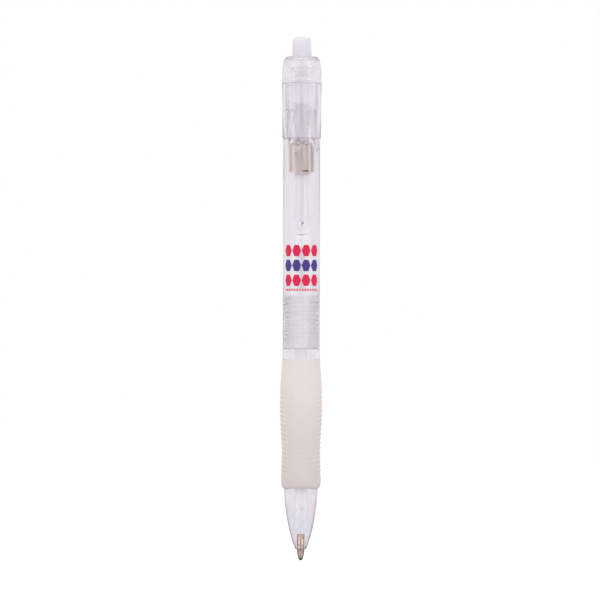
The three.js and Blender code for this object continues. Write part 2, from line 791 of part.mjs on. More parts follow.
// The push button, a thimble over the plunger's stem with a flat on top
function pushButton() {
  const inner = STEM_RADIUS + PRESS_GAP;
  const bottom = flangeTop + RUN_GAP;
  const ceiling = flangeTop + STEM_LENGTH + RUN_GAP;
  const edge = BUTTON_TOP_RADIUS - BUTTON_ROUND;
  return turned(
    [
      [0, ceiling],
      [inner, ceiling],
      [inner, bottom],
      [BUTTON_RADIUS, bottom],
      [BUTTON_RADIUS, endCapTop],
      ...arc(edge, buttonTop - BUTTON_ROUND, BUTTON_ROUND, Math.PI / 2, 0, CURVE_STEPS),
      [0, buttonTop],
    ],
    SHELL_SIDES,
  );
}

// The sleeve between the barrel and the end cap, widening slightly upwards
function capSleeve() {
  const inner = NECK_RADIUS + PRESS_GAP;
  return turnedRing(
    [
      [inner, sleeveBottom],
      [CAP_FOOT_RADIUS, sleeveBottom],
      [CAP_RADIUS, sleeveTop - SEAT_GAP],
      [CAP_RADIUS - SEAT_GAP, sleeveTop],
      [inner, sleeveTop],
    ],
    SHELL_SIDES,
  );
}

// The end cap: roof with the button's hole, a tenon in the sleeve, and a slot in front for the clip's tongue
function endCap() {
  const hole = BUTTON_RADIUS + BUTTON_HOLE_GAP;
  const roof = endCapTop - ROOF_THICKNESS;
  const tenonBottom = endCapBottom - CAP_TENON_LENGTH;
  const shoulder = arc(
    SHOULDER_RADIUS - SHOULDER_ROUND,
    endCapTop - SHOULDER_ROUND,
    SHOULDER_ROUND,
    Math.PI / 2,
    Math.asin((SHOULDER_ROUND - SHOULDER_SLANT) / SHOULDER_ROUND),
    CURVE_STEPS,
  );
  const shell = turnedRing(
    [
      [hole, roof],
      [CAP_CAVITY, roof],
      [CAP_CAVITY, tenonBottom],
      [NECK_RADIUS, tenonBottom],
      [NECK_RADIUS, endCapBottom],
      [CAP_RIM_RADIUS, endCapBottom],
      [CAP_RIM_RADIUS, endCapBottom + CAP_WALL_HEIGHT],
      [CAP_BREAK_RADIUS, endCapTop - CAP_BREAK_DROP],
      ...shoulder,
      [SHOULDER_RADIUS - SHOULDER_SLANT, endCapTop],
      [hole, endCapTop],
    ],
    SHELL_SIDES,
  );
  const wall = CAP_RIM_RADIUS - CAP_CAVITY;
  const slot = new THREE.BoxGeometry(
    2 * (TONGUE_HALF_WIDTH + PRESS_GAP),
    3 * wall,
    TONGUE_THICKNESS + 2 * PRESS_GAP,
  ).translate(0, -(CAP_CAVITY + CAP_RIM_RADIUS) / 2, tongueMiddle);
  return surface(solid(shell).subtract(solid(slot)));
}

// An outline pushed right through: a frontal one runs across the pen and is pushed along Y, and a side one
// runs along Y and is pushed across the pen
function pushedThrough(shape, frontal) {
  const body = new THREE.ExtrudeGeometry(shape, {
    depth: THROUGH,
    bevelEnabled: false,
    curveSegments: CURVE_STEPS,
  });
  body.translate(0, 0, -THROUGH / 2);
  const up = new THREE.Vector3(0, 0, 1);
  const turn = frontal
    ? new THREE.Matrix4().makeBasis(new THREE.Vector3(1, 0, 0), up, new THREE.Vector3(0, -1, 0))
    : new THREE.Matrix4().makeBasis(new THREE.Vector3(0, 1, 0), up, new THREE.Vector3(1, 0, 0));
  return body.applyMatrix4(turn);
}

// Depth of the blade's inner face at its root and at its end
const blade = -(CAP_RADIUS + CLIP_SPACE);
const tip = blade + CLIP_TIP_LEAN;

// The clip seen from the side: tongue in the end cap's wall, bend and blade
function clipSide() {
  const back = blade - CLIP_THICKNESS;
  const tongueEnd = -(CAP_CAVITY + TONGUE_SHORT);
  const tongueTop = clipTop - TONGUE_DROP;
  const tongueBottom = tongueTop - TONGUE_THICKNESS;
  const shape = new THREE.Shape();
  shape.moveTo(tongueEnd, tongueTop);
  shape.lineTo(back + CLIP_SHOULDER, clipTop);
  shape.quadraticCurveTo(back, clipTop, back, clipTop - CLIP_SHOULDER);
  shape.lineTo(tip - CLIP_THICKNESS, clipBottom + CLIP_THICKNESS);
  shape.quadraticCurveTo(tip - CLIP_THICKNESS, clipBottom, tip - CLIP_THICKNESS / 2, clipBottom);
  shape.quadraticCurveTo(tip, clipBottom, tip, clipBottom + CLIP_THICKNESS / 2);
  shape.lineTo(blade, tongueBottom - CLIP_THICKNESS);
  shape.quadraticCurveTo(blade, tongueBottom, blade + CLIP_THICKNESS, tongueBottom);
  shape.lineTo(tongueEnd, tongueBottom);
  return shape;
}

// The clip seen from the front: broad root, narrow waist, slightly wider end
function clipFront() {
  const right = new THREE.SplineCurve(
    CLIP_HALF_WIDTHS.map(([rise, half]) => new THREE.Vector2(half, clipBottom + rise)),
  ).getPoints(EDGE_STEPS);
  const [endRise, endHalf] = CLIP_HALF_WIDTHS[0];
  const shape = new THREE.Shape();
  shape.moveTo(-endHalf, clipBottom + endRise);
  shape.absellipse(0, clipBottom + endRise, endHalf, endRise, Math.PI, 2 * Math.PI, false);
  for (const point of right.slice(1)) shape.lineTo(point.x, point.y);
  for (const point of right.slice(1).reverse()) shape.lineTo(-point.x, point.y);
  return shape;
}

// The round pad that holds cloth against the barrel
function clipPad() {
  const reach = -(BARREL_RADIUS + PAD_GAP) - tip;
  const pad = new THREE.SphereGeometry(1, FINE_SIDES, BALL_RINGS).scale(PAD_HALF_WIDTH, reach, PAD_LENGTH / 2);
  return pad.translate(0, tip, clipBottom + PAD_HEIGHT);
}

// The pocket clip, one springy moulding; only its tongue is narrow enough to reach into the cap's wall
function clip() {
  const side = pushedThrough(clipSide(), false);
  const front = pushedThrough(clipFront(), true);
  const bar = solid(side).intersect(solid(front)).add(solid(clipPad()));
  const cap = new THREE.CylinderGeometry(
    CAP_RADIUS + RUN_GAP,
    CAP_RADIUS + RUN_GAP,
    2 * CLIP_LENGTH,
    SHELL_SIDES,
  );
  cap.rotateX(Math.PI / 2).translate(0, 0, clipTop);
  const between = new THREE.BoxGeometry(2 * TONGUE_HALF_WIDTH, THROUGH, TONGUE_THICKNESS);
  between.translate(0, 0, tongueMiddle);
  const tongue = bar.intersect(solid(between));
  return surface(bar.subtract(solid(cap)).add(tongue));
}

// A named piece with its own finish
function piece(name, geometry, colour, roughness, metalness = 0, opacity = 1) {
  const material = new THREE.MeshStandardMaterial({
    color: colour,
    roughness,
    metalness,
    opacity,
    transparent: opacity < 1,
  });
  const mesh = new THREE.Mesh(geometry, material);
  mesh.name = name;
  return mesh;
}

const CLEAR = 0.35; // opacity of the clear mouldings

const pen = new THREE.Group();
pen.position.z = -originHeight;
pen.add(
  piece('end_cap', endCap(), '#e6dfe8', 0.12, 0, CLEAR),
  piece('cap_sleeve', capSleeve(), '#e2dbe6', 0.12, 0, CLEAR),
  piece('clip', clip(), '#e4dde8', 0.1, 0, CLEAR),
  piece('push_button', pushButton(), '#e3dee8', 0.45),
  piece('plunger', plunger(), '#dcd7e2', 0.4),
  piece('cam_rotor', camRotor(), '#b9a49c', 0.3),
  piece('upper_barrel', upperBarrel(), '#e5e0e7', 0.08, 0, CLEAR),
  piece('front_barrel', frontBarrel(), '#e2dce2', 0.08, 0, CLEAR),
  piece('rubber_grip', rubberGrip(), '#e4d9d5', 0.7),
  piece('return_spring', returnSpring(), '#b9b9bb', 0.25, 1),
  piece('refill_tube', refillTube(), '#eceaf0', 0.4),
  piece('ink_column', inkColumn(), '#23233a', 0.3),
  piece('ink_follower', inkFollower(), '#d9cfa8', 0.35),
  piece('point_socket', pointSocket(), '#eef0f4', 0.35),
  piece('writing_point', writingPoint(), '#c8b7b2', 0.25, 1),
  piece('point_ball', pointBall(), '#8f8a88', 0.15, 1),
);

const part = new THREE.Group();
part.add(pen);

console.log(`least gap between the spring's turns: ${leastCoilGap().toFixed(2)} mm`);

export default part;
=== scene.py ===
"""A retractable pen with a clear body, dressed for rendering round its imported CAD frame.

Sizes are in millimetres and heights are counted from the lowest point of the writing ball, as in the CAD
source; place() turns them into the frame's metres. Angles go about the axis from the clip's side towards +X.
Finishes count their heights from the frame's origin.
"""

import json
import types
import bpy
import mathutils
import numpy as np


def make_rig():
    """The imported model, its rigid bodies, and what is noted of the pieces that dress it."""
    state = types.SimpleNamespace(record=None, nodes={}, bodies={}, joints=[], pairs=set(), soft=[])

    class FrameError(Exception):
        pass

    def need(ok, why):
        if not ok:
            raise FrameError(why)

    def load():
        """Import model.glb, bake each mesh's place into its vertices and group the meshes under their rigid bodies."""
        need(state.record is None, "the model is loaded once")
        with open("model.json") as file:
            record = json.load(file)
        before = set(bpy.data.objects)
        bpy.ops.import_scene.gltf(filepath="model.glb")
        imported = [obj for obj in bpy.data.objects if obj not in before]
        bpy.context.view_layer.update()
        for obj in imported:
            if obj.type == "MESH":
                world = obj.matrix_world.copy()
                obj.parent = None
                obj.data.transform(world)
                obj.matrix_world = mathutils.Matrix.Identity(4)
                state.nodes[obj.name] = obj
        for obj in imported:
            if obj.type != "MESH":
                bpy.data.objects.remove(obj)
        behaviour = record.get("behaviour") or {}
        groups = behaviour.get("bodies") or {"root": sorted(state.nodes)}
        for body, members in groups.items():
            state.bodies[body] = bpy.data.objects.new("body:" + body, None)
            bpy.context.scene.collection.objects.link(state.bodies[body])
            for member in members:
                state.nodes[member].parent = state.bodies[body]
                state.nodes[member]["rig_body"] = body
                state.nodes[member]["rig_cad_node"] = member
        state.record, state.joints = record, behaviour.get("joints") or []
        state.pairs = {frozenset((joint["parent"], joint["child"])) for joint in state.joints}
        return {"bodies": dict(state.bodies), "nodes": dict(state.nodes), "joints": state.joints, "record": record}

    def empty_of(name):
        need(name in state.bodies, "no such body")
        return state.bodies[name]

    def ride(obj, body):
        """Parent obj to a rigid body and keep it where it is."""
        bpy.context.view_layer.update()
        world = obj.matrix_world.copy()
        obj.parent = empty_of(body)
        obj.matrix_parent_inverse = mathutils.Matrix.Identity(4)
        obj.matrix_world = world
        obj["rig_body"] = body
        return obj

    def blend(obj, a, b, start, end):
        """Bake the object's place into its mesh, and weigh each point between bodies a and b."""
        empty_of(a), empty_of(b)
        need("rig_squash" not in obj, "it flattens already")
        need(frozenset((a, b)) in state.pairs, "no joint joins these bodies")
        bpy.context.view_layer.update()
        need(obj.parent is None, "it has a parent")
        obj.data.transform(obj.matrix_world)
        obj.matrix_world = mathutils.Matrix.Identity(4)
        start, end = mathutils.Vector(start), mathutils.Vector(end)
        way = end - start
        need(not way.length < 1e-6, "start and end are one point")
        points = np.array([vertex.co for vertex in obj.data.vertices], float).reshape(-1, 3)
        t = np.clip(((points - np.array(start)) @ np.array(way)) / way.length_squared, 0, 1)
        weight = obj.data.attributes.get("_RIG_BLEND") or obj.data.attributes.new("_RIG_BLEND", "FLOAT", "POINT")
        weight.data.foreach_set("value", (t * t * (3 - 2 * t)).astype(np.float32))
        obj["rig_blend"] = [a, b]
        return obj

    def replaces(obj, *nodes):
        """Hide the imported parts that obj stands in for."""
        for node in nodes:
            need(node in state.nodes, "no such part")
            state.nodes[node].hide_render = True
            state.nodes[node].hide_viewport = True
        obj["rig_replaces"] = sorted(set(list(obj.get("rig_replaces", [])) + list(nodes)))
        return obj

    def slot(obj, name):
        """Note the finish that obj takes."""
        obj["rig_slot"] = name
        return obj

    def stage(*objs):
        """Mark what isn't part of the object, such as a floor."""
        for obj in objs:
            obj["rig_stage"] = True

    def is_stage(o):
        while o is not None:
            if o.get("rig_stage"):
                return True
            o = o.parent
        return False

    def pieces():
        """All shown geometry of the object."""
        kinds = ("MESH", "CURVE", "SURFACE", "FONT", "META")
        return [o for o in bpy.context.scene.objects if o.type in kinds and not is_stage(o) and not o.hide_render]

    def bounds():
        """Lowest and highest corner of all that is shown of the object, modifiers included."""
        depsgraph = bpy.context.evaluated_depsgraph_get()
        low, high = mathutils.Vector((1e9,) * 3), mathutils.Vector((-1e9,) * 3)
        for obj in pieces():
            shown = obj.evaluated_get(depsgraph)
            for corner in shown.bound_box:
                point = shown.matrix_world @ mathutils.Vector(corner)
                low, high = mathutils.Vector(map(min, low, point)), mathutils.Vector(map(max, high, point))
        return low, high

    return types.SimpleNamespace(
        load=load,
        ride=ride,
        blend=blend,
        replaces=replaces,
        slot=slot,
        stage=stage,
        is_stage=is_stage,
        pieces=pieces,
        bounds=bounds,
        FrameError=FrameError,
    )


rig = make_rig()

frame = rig.load()

import json
import logging
import math
from dataclasses import dataclass, field
from enum import Enum
from typing import Any, Iterator, Sequence

import bmesh
import bpy
from mathutils import Matrix, Vector

CAD_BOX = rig.bounds()
SIZE_FILE = "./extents.json"
MM = 0.001
ORIGIN_HEIGHT = 36.73  # height of the frame's origin above the ball
WELD = 1e-8  # metres; corners closer than this are one corner
NEAR = 0.02 * MM  # a point as near as this to a size has that size
CRISP = math.radians(38)  # edges that turn more than this keep a crisp line
STRAIGHT = math.pi / 2 - 0.01  # a corner whose half angle is more than this needs no round
NOISE = (0.3, 0.7)  # most of a noise lies between these
STREAKS = (0.42, 0.58)  # a noise cut between these is drawn as streaks
STAINS = (0.4, 0.75)  # and as stains between these
BLACK = (0.0, 0.0, 0.0, 1.0)

Outline = list[tuple[float, float]]
Marks = tuple[tuple[float, ...], ...]
Colour = tuple[float, ...]
Shape = bpy.types.Object
Socket = bpy.types.NodeSocket
log = logging.getLogger("pen")


def level(height: float) -> float:
    """A height above the ball as one above the frame's origin."""
    return height - ORIGIN_HEIGHT


def flat_place(x: float, y: float, height: float) -> Vector:
    """A point of the frame, in metres, from its sideways, depth and height sizes."""
    return Vector((x, y, level(height))) * MM


def place(radius: float, angle: float, height: float) -> Vector:
    """A point of the frame, in metres, from its radius, angle and height."""
    return flat_place(radius * math.sin(angle), -radius * math.cos(angle), height)


def linear(hex_colour: str) -> Colour:
    """An sRGB hex colour as linear light with an alpha of one."""
    parts = [int(hex_colour[i : i + 2], 16) / 255 for i in (1, 3, 5)]
    return (*(p / 12.92 if p <= 0.04045 else ((p + 0.055) / 1.055) ** 2.4 for p in parts), 1.0)


def dimmed(colour: Colour, share: float) -> Colour:
    """A colour with this share of its light."""
    return (*(share * part for part in colour[:3]), 1.0)


# Outlines and meshes


def rounded(corners: Sequence[tuple[float, ...]], ring: bool = True, steps: int = 4) -> Outline:
    """An outline with its corners rounded off.

    Args:
        corners: Radius and height of each corner, and the size of its round where it has one.
        ring: Whether the outline closes on itself; otherwise its ends stay as they are.
        steps: Facets to a round.

    Returns:
        The points of the outline as radius and height.
    """
    points: Outline = []
    spots = [Vector(corner[:2]) for corner in corners]
    for i, (here, corner) in enumerate(zip(spots, corners)):
        back, ahead = spots[i - 1] - here, spots[(i + 1) % len(spots)] - here
        plain = len(corner) < 3 or (not ring and i in (0, len(corners) - 1))
        half = STRAIGHT if plain else back.angle(ahead) / 2
        if plain or half > STRAIGHT:
            points.append((here.x, here.y))
            continue
        reach = min(corner[2] / math.tan(half), 0.49 * back.length, 0.49 * ahead.length)
        size = reach * math.tan(half)
        centre = here + (back.normalized() + ahead.normalized()).normalized() * (size / math.sin(half))
        start = here + back.normalized() * reach - centre
        end = here + ahead.normalized() * reach - centre
        first = math.atan2(start.y, start.x)
        sweep = (math.atan2(end.y, end.x) - first + math.pi) % math.tau - math.pi
        for k in range(steps + 1):
            angle = first + sweep * k / steps
            points.append((centre.x + size * math.cos(angle), centre.y + size * math.sin(angle)))
    return points


def arc(radius: float, height: float, size: float, first: float, last: float, steps: int) -> Outline:
    """Points of an arc round a middle, at angles measured from straight up."""
    angles = [first + (last - first) * i / steps for i in range(steps + 1)]
    return [(radius + size * math.sin(a), height + size * math.cos(a)) for a in angles]


def ruled(outline: Outline, step: float) -> Outline:
    """An outline with extra points, so that none of its straight stretches is longer than step.

    Args:
        outline: Points of an open line.
        step: The longest stretch.

    Returns:
        The line with its extra points.
    """
    points: Outline = []
    for (r0, h0), (r1, h1) in zip(outline, outline[1:]):
        count = max(1, math.ceil(math.hypot(r1 - r0, h1 - h0) / step))
        points += [(r0 + (r1 - r0) * k / count, h0 + (h1 - h0) * k / count) for k in range(count)]
    return points + [outline[-1]]


def through(marks: Marks, steps: int) -> Outline:
    """A smooth curve through the marks, with this many facets between two of them.

    Args:
        marks: Points that the curve goes through.
        steps: Facets between two of them.

    Returns:
        The points of the curve.
    """
    points: Outline = []
    last = len(marks) - 1
    for i in range(last):
        a, b, c, d = (Vector(marks[min(max(i + k, 0), last)]) for k in (-1, 0, 1, 2))
        for k in range(steps):
            t = k / steps
            p = 0.5 * (2 * b + (c - a) * t + (2 * a - 5 * b + 4 * c - d) * t**2 + (3 * b - a - 3 * c + d) * t**3)
            points.append((p.x, p.y))
    return points + [marks[-1]]


def swing(points: Sequence[Vector], share: float) -> Vector:
    """A point of the curve that bends from the first point to the last round the middle one."""
    a, b, c = points
    return a * (1 - share) ** 2 + b * 2 * share * (1 - share) + c * share**2


def shaded(shape: Shape) -> Shape:
    """Smooth shading that leaves crisp lines where the surface turns sharply.

    Args:
        shape: The object.

    Returns:
        The same object.
    """
    mesh = bmesh.new()
    mesh.from_mesh(shape.data)
    for face in mesh.faces:
        face.smooth = True
    for edge in mesh.edges:
        edge.smooth = len(edge.link_faces) == 2 and edge.calc_face_angle() < CRISP
    mesh.to_mesh(shape.data)
    mesh.free()
    return shape


def linked(name: str, data: Any) -> Shape:
    """A new object, linked into the scene.

    Args:
        name: Its name.
        data: Its mesh, camera or light.

    Returns:
        The object.
    """
    shape = bpy.data.objects.new(name, data)
    bpy.context.collection.objects.link(shape)
    return shape


def skin(name: str, points: Sequence[Vector], faces: Sequence[Sequence[int]]) -> Shape:
    """A closed object from points and faces, welded, facing outwards and smoothly shaded.

    Args:
        name: The new object's name.
        points: The corners in metres.
        faces: Corner numbers of each face.

    Returns:
        The object, linked into the scene.
    """
    data = bpy.data.meshes.new(name)
    data.from_pydata(points, [], faces)
    mesh = bmesh.new()
    mesh.from_mesh(data)
    bmesh.ops.remove_doubles(mesh, verts=mesh.verts, dist=WELD)
    bmesh.ops.dissolve_degenerate(mesh, dist=WELD, edges=mesh.edges)
    bmesh.ops.recalc_face_normals(mesh, faces=mesh.faces)
    mesh.to_mesh(data)
    mesh.free()
    return shaded(linked(name, data))


def lofted(name: str, rows: Sequence[Sequence[Vector]]) -> Shape:
    """A skin over rows of corners, each row a closed loop, with a cap at both ends.

    Args:
        name: The new object's name.
        rows: Rows with the same number of corners.

    Returns:
        The closed object.
    """
    width, end = len(rows[0]), len(rows) - 1
    faces: list[Sequence[int]] = []
    for here in range(0, end * width, width):
        there = here + width
        faces += [(here + k, here + (k + 1) % width, there + (k + 1) % width, there + k) for k in range(width)]
    faces += [tuple(range(width)), tuple(range(end * width, (end + 1) * width))]
    return skin(name, [corner for row in rows for corner in row], faces)


def turned(name: str, outline: Outline, sides: int = 96, ring: bool = True) -> Shape:
    """An outline turned about the pen's axis.

    Args:
        name: The new object's name.
        outline: Radius and height of each point.
        sides: Facets about the axis.
        ring: Whether the outline closes on itself; otherwise it starts and ends on the axis.

    Returns:
        The closed object.
    """
    width = len(outline)
    points = [place(r, math.tau * i / sides, h) for i in range(sides) for r, h in outline]
    faces = []
    for i in range(sides):
        here, there = i * width, ((i + 1) % sides) * width
        for k in range(width if ring else width - 1):
            after = (k + 1) % width
            faces.append((here + k, there + k, there + after, here + after))
    return skin(name, points, faces)


def settled(shape: Shape) -> Shape:
    """The object with its modifiers' result kept as its plain mesh, smoothly shaded.

    Args:
        shape: The object.

    Returns:
        The same object, without its modifiers.
    """
    graph = bpy.context.evaluated_depsgraph_get()
    data = bpy.data.meshes.new_from_object(shape.evaluated_get(graph), depsgraph=graph)
    shape.modifiers.clear()
    shape.data = data
    data.name = shape.name
    return shaded(shape)


# Node trees


def give(entry: Socket, value: Any) -> None:
    """Gives an input a constant, or the output that feeds it.

    Args:
        entry: The input.
        value: A constant, a term or an output.
    """
    value = value.socket if isinstance(value, Term) else value
    if isinstance(value, Socket):
        entry.id_data.links.new(value, entry)
    else:
        entry.default_value = value


def add_node(tree: bpy.types.NodeTree, kind: str, settings: dict[str, Any] | None,
             links: dict[int | str, Any] | None) -> bpy.types.Node:
    """Adds a node with its settings and inputs.

    Args:
        tree: The tree that gets the node.
        kind: Blender's name for the node's type.
        settings: Properties of the node.
        links: For an input's name or number, a value or the output that feeds it.

    Returns:
        The new node.
    """
    node = tree.nodes.new(kind)
    for key, value in (settings or {}).items():
        setattr(node, key, value)
    for key, value in (links or {}).items():
        give(node.inputs[key], value)
    return node


class Term:
    """A number in a node tree, for formulas that read as plain arithmetic."""

    def __init__(self, socket: Socket) -> None:
        """Keeps the output that holds the number."""
        self.socket = socket

    def do(self, operation: str, *others: Any) -> "Term":
        """One step of arithmetic on this number and others.

        Args:
            operation: Blender's name for it.
            others: The numbers that come after this one.

        Returns:
            The result.
        """
        node = add_node(self.socket.id_data, "ShaderNodeMath", {"operation": operation},
                        dict(enumerate((self, *others))))
        return Term(node.outputs[0])

    def __add__(self, other: Any) -> "Term":
        """The sum."""
        return self.do("ADD", other)

    def __sub__(self, other: Any) -> "Term":
        """The difference."""
        return self.do("SUBTRACT", other)

    def __rsub__(self, other: float) -> "Term":
        """A plain number less this one."""
        return self.do("MULTIPLY_ADD", -1.0, other)

    def __mul__(self, other: Any) -> "Term":
        """The product."""
        return self.do("MULTIPLY", other)

    def __truediv__(self, other: Any) -> "Term":
        """The quotient."""
        return self.do("DIVIDE", other)

    def __abs__(self) -> "Term":
        """The number without its sign."""
        return self.do("ABSOLUTE")

    def __gt__(self, other: Any) -> "Term":
        """One where this number is the greater."""
        return self.do("GREATER_THAN", other)

    def __lt__(self, other: Any) -> "Term":
        """One where this number is the less."""
        return self.do("LESS_THAN", other)

    def most(self, other: Any) -> "Term":
        """The greater of two."""
        return self.do("MAXIMUM", other)

    def least(self, other: Any) -> "Term":
        """The less of two."""
        return self.do("MINIMUM", other)

    def peaks(self) -> "Term":
        """One halfway between whole numbers, falling straight to zero at each of them."""
        return 1.0 - abs(self.do("FRACT") * 2.0 - 1.0)

    def ramp(self, low: float, high: float, to_low: Any = 0.0, to_high: Any = 1.0,
             kind: str = "SMOOTHSTEP") -> "Term":
        """The number taken from one range to another, held at its ends.

        Args:
            low: Start of the range.
            high: End of the range.
            to_low: What the start becomes.
            to_high: What the end becomes.
            kind: Blender's name for the way between them.

        Returns:
            The result.
        """
        node = add_node(self.socket.id_data, "ShaderNodeMapRange", {"interpolation_type": kind},
                        {0: self, 1: low, 2: high, 3: to_low, 4: to_high})
        return Term(node.outputs[0])


def helix(angle: Term, height: Term, start: Any, pitch: Any) -> Term:
    """One on a right-handed thread's crest, falling straight to zero at its root."""
    return ((height - start) / pitch - angle / math.tau).peaks()


class Net:
    """A node tree, and what formulas about a place in it share."""

    def __init__(self, tree: bpy.types.NodeTree, spot: str, name: str) -> None:
        """Keeps the tree and the place.

        Args:
            tree: The tree.
            spot: Blender's name for the type of the node that gives the place.
            name: The name of that node's output.
        """
        self.tree = tree
        self.spot = self.add(spot).outputs[name]

    def add(self, kind: str, settings: dict[str, Any] | None = None,
            links: dict[int | str, Any] | None = None) -> bpy.types.Node:
        """Adds a node to this tree."""
        return add_node(self.tree, kind, settings, links)

    def coordinates(self) -> tuple[Term, ...]:
        """The place's three coordinates."""
        return tuple(Term(part) for part in self.add("ShaderNodeSeparateXYZ", links={0: self.spot}).outputs)

    def cylindrical(self) -> tuple[Term, Term, Term, Socket]:
        """Radius, angle and height of the place, and the way to it from the axis.

        Returns:
            Both lengths in metres, the angle in radians, and the way as a flat vector.
        """
        x, y, z = self.coordinates()
        flat = self.add("ShaderNodeVectorMath", {"operation": "MULTIPLY"}, {0: self.spot, 1: (1.0, 1.0, 0.0)})
        length = self.add("ShaderNodeVectorMath", {"operation": "LENGTH"}, {0: flat.outputs[0]})
        return Term(length.outputs["Value"]), x.do("ARCTAN2", y * -1.0), z, flat.outputs[0]

    def blend(self, share: Any, low: Any, high: Any) -> Socket:
        """A colour between two, by share."""
        return self.add("ShaderNodeMix", {"data_type": "RGBA"}, {0: share, 6: low, 7: high}).outputs[2]

    def noise(self, size: float, stretch: tuple[float, float, float] = (1, 1, 1), detail: float = 2.0) -> Term:
        """Noise from 0 to 1 whose features are size millimetres wide, before stretching.

        Args:
            size: Width of a feature.
            stretch: Factors on the three coordinates.
            detail: How many finer layers it has.

        Returns:
            The noise.
        """
        spot = self.add("ShaderNodeMapping", links={"Vector": self.spot, "Scale": stretch}).outputs[0]
        links = {"Vector": spot, "Scale": 1 / (size * MM), "Detail": detail}
        return Term(self.add("ShaderNodeTexNoise", links=links).outputs["Fac"])


class GrowthTree(Net):
    """A Geometry Nodes tree with named inputs that ends in plain, dressed geometry."""

    def __init__(self, name: str, *sizes: str, counts: tuple[str, ...] = ()) -> None:
        """Makes the tree's inputs.

        Args:
            name: The tree's name.
            sizes: Names of the inputs that are numbers.
            counts: Names of the inputs that are whole numbers.
        """
        tree = bpy.data.node_groups.new(name, "GeometryNodeTree")
        super().__init__(tree, "GeometryNodeInputPosition", "Position")
        kinds = {"Geometry": "Geometry"} | dict.fromkeys(sizes, "Float") | dict.fromkeys(counts, "Int")
        for key, kind in (kinds | {"Material": "Material"}).items():
            tree.interface.new_socket(key, in_out="INPUT", socket_type=f"NodeSocket{kind}")
        tree.interface.new_socket("Geometry", in_out="OUTPUT", socket_type="NodeSocketGeometry")
        self.inputs = self.add("NodeGroupInput").outputs
        self.given = [Term(self.inputs[key]) for key in sizes + counts]

    def bent(self, geometry: Socket, radius: Term, angle: Term, height: Term) -> Socket:
        """The geometry with each of its points at a radius, angle and height.

        Args:
            geometry: What is moved.
            radius: Each point's new radius.
            angle: Its new angle.
            height: Its new height.

        Returns:
            The moved geometry.
        """
        spot = self.add("ShaderNodeCombineXYZ", links={
            0: radius * angle.do("SINE"), 1: radius * angle.do("COSINE") * -1.0, 2: height}).outputs[0]
        return self.add("GeometryNodeSetPosition", links={"Geometry": geometry, "Position": spot}).outputs[0]

    def copies(self, piece: Socket, count: Term, **links: Any) -> Socket:
        """Copies of a piece on as many points, as plain geometry.

        Args:
            piece: The geometry to copy.
            count: How many copies.
            links: Other inputs of the node that makes them.

        Returns:
            The copies.
        """
        links = {"Points": self.add("GeometryNodePoints", links={"Count": count}).outputs[0]} | links
        spread = self.add("GeometryNodeInstanceOnPoints", links={"Instance": piece} | links).outputs[0]
        return self.add("GeometryNodeRealizeInstances", links={0: spread}).outputs[0]

    def push(self, way: Any, distance: Term, chosen: Term) -> "GrowthTree":
        """Ends the tree with the chosen points moved the distance in a direction.

        Args:
            way: The direction, of any length.
            distance: How far the points go.
            chosen: One for the points that move.

        Returns:
            This tree.
        """
        unit = self.add("ShaderNodeVectorMath", {"operation": "NORMALIZE"}, {0: way}).outputs[0]
        step = self.add("ShaderNodeVectorMath", {"operation": "SCALE"}, {0: unit, "Scale": distance}).outputs[0]
        return self.end(self.add("GeometryNodeSetPosition", links={
            "Geometry": self.inputs["Geometry"], "Selection": chosen, "Offset": step}).outputs[0])

    def end(self, geometry: Socket) -> "GrowthTree":
        """Realizes and dresses the geometry and hands it out.

        Args:
            geometry: What the tree has made.

        Returns:
            This tree.
        """
        real = self.add("GeometryNodeRealizeInstances", links={0: geometry}).outputs[0]
        dressed = self.add("GeometryNodeSetMaterial", links={"Geometry": real, "Material": self.inputs["Material"]})
        self.add("NodeGroupOutput", links={0: dressed.outputs[0]})
        return self

    def grow(self, shape: Shape, lengths: dict[str, float], others: dict[str, float]) -> Shape:
        """Runs the tree on an object and keeps the result as its plain mesh.

        Args:
            shape: The object to change.
            lengths: The tree's inputs in millimetres, by name.
            others: Its angles, shares and counts.

        Returns:
            The same object.
        """
        values = {key: length * MM for key, length in lengths.items()} | others
        step = shape.modifiers.new(self.tree.name, "NODES")
        step.node_group = self.tree
        for item in self.tree.interface.items_tree:
            if item.in_out == "INPUT" and item.name in values:
                step[item.identifier] = values[item.name]
        return settled(shape)


def thread_tree() -> GrowthTree:
    """A helical thread raised on a plain cylinder: a point rises with how near the crest it lies.

    Returns:
        The tree, ready to grow.
    """
    tree = GrowthTree("helical_thread", "Radius", "Depth", "Pitch", "Start", "End", "Fade")
    root, depth, pitch, start, end, fade = tree.given
    radius, angle, height, outward = tree.cylindrical()
    crest = helix(angle, height, start, pitch).ramp(0.0, 1.0)
    inside = ((height - start) / fade).least((end - height) / fade).ramp(0.0, 1.0)
    return tree.push(outward, crest * inside * depth, radius.do("COMPARE", root, NEAR))


def rib_tree() -> GrowthTree:
    """Grip ribs pressed into both flanks of a sleeve, with a shallow run of them across the waist in front.

    Returns:
        The tree, ready to grow.
    """
    tree = GrowthTree("flank_ribs", "Inner Radius", "Depth", "Pitch", "Start", "Half Span", "Span Fade",
                      "Front Depth", "Front Low", "Front High", "Front Fade", counts=("Count",))
    inner, depth, pitch, start, span, span_fade, front_depth, low, high, front_fade, count = tree.given
    radius, angle, height, outward = tree.cylindrical()
    turn = (height - start) / pitch
    groove = turn.peaks().ramp(0.05, 0.95) * (turn > 0.0) * (turn < count)
    flank = (span - abs(abs(angle) - math.pi / 2)).ramp(0.0, span_fade) * depth
    front = (height - low).ramp(0.0, front_fade) * (high - height).ramp(0.0, front_fade) * front_depth
    return tree.push(outward, flank.most(front) * groove * -1.0, radius > inner)


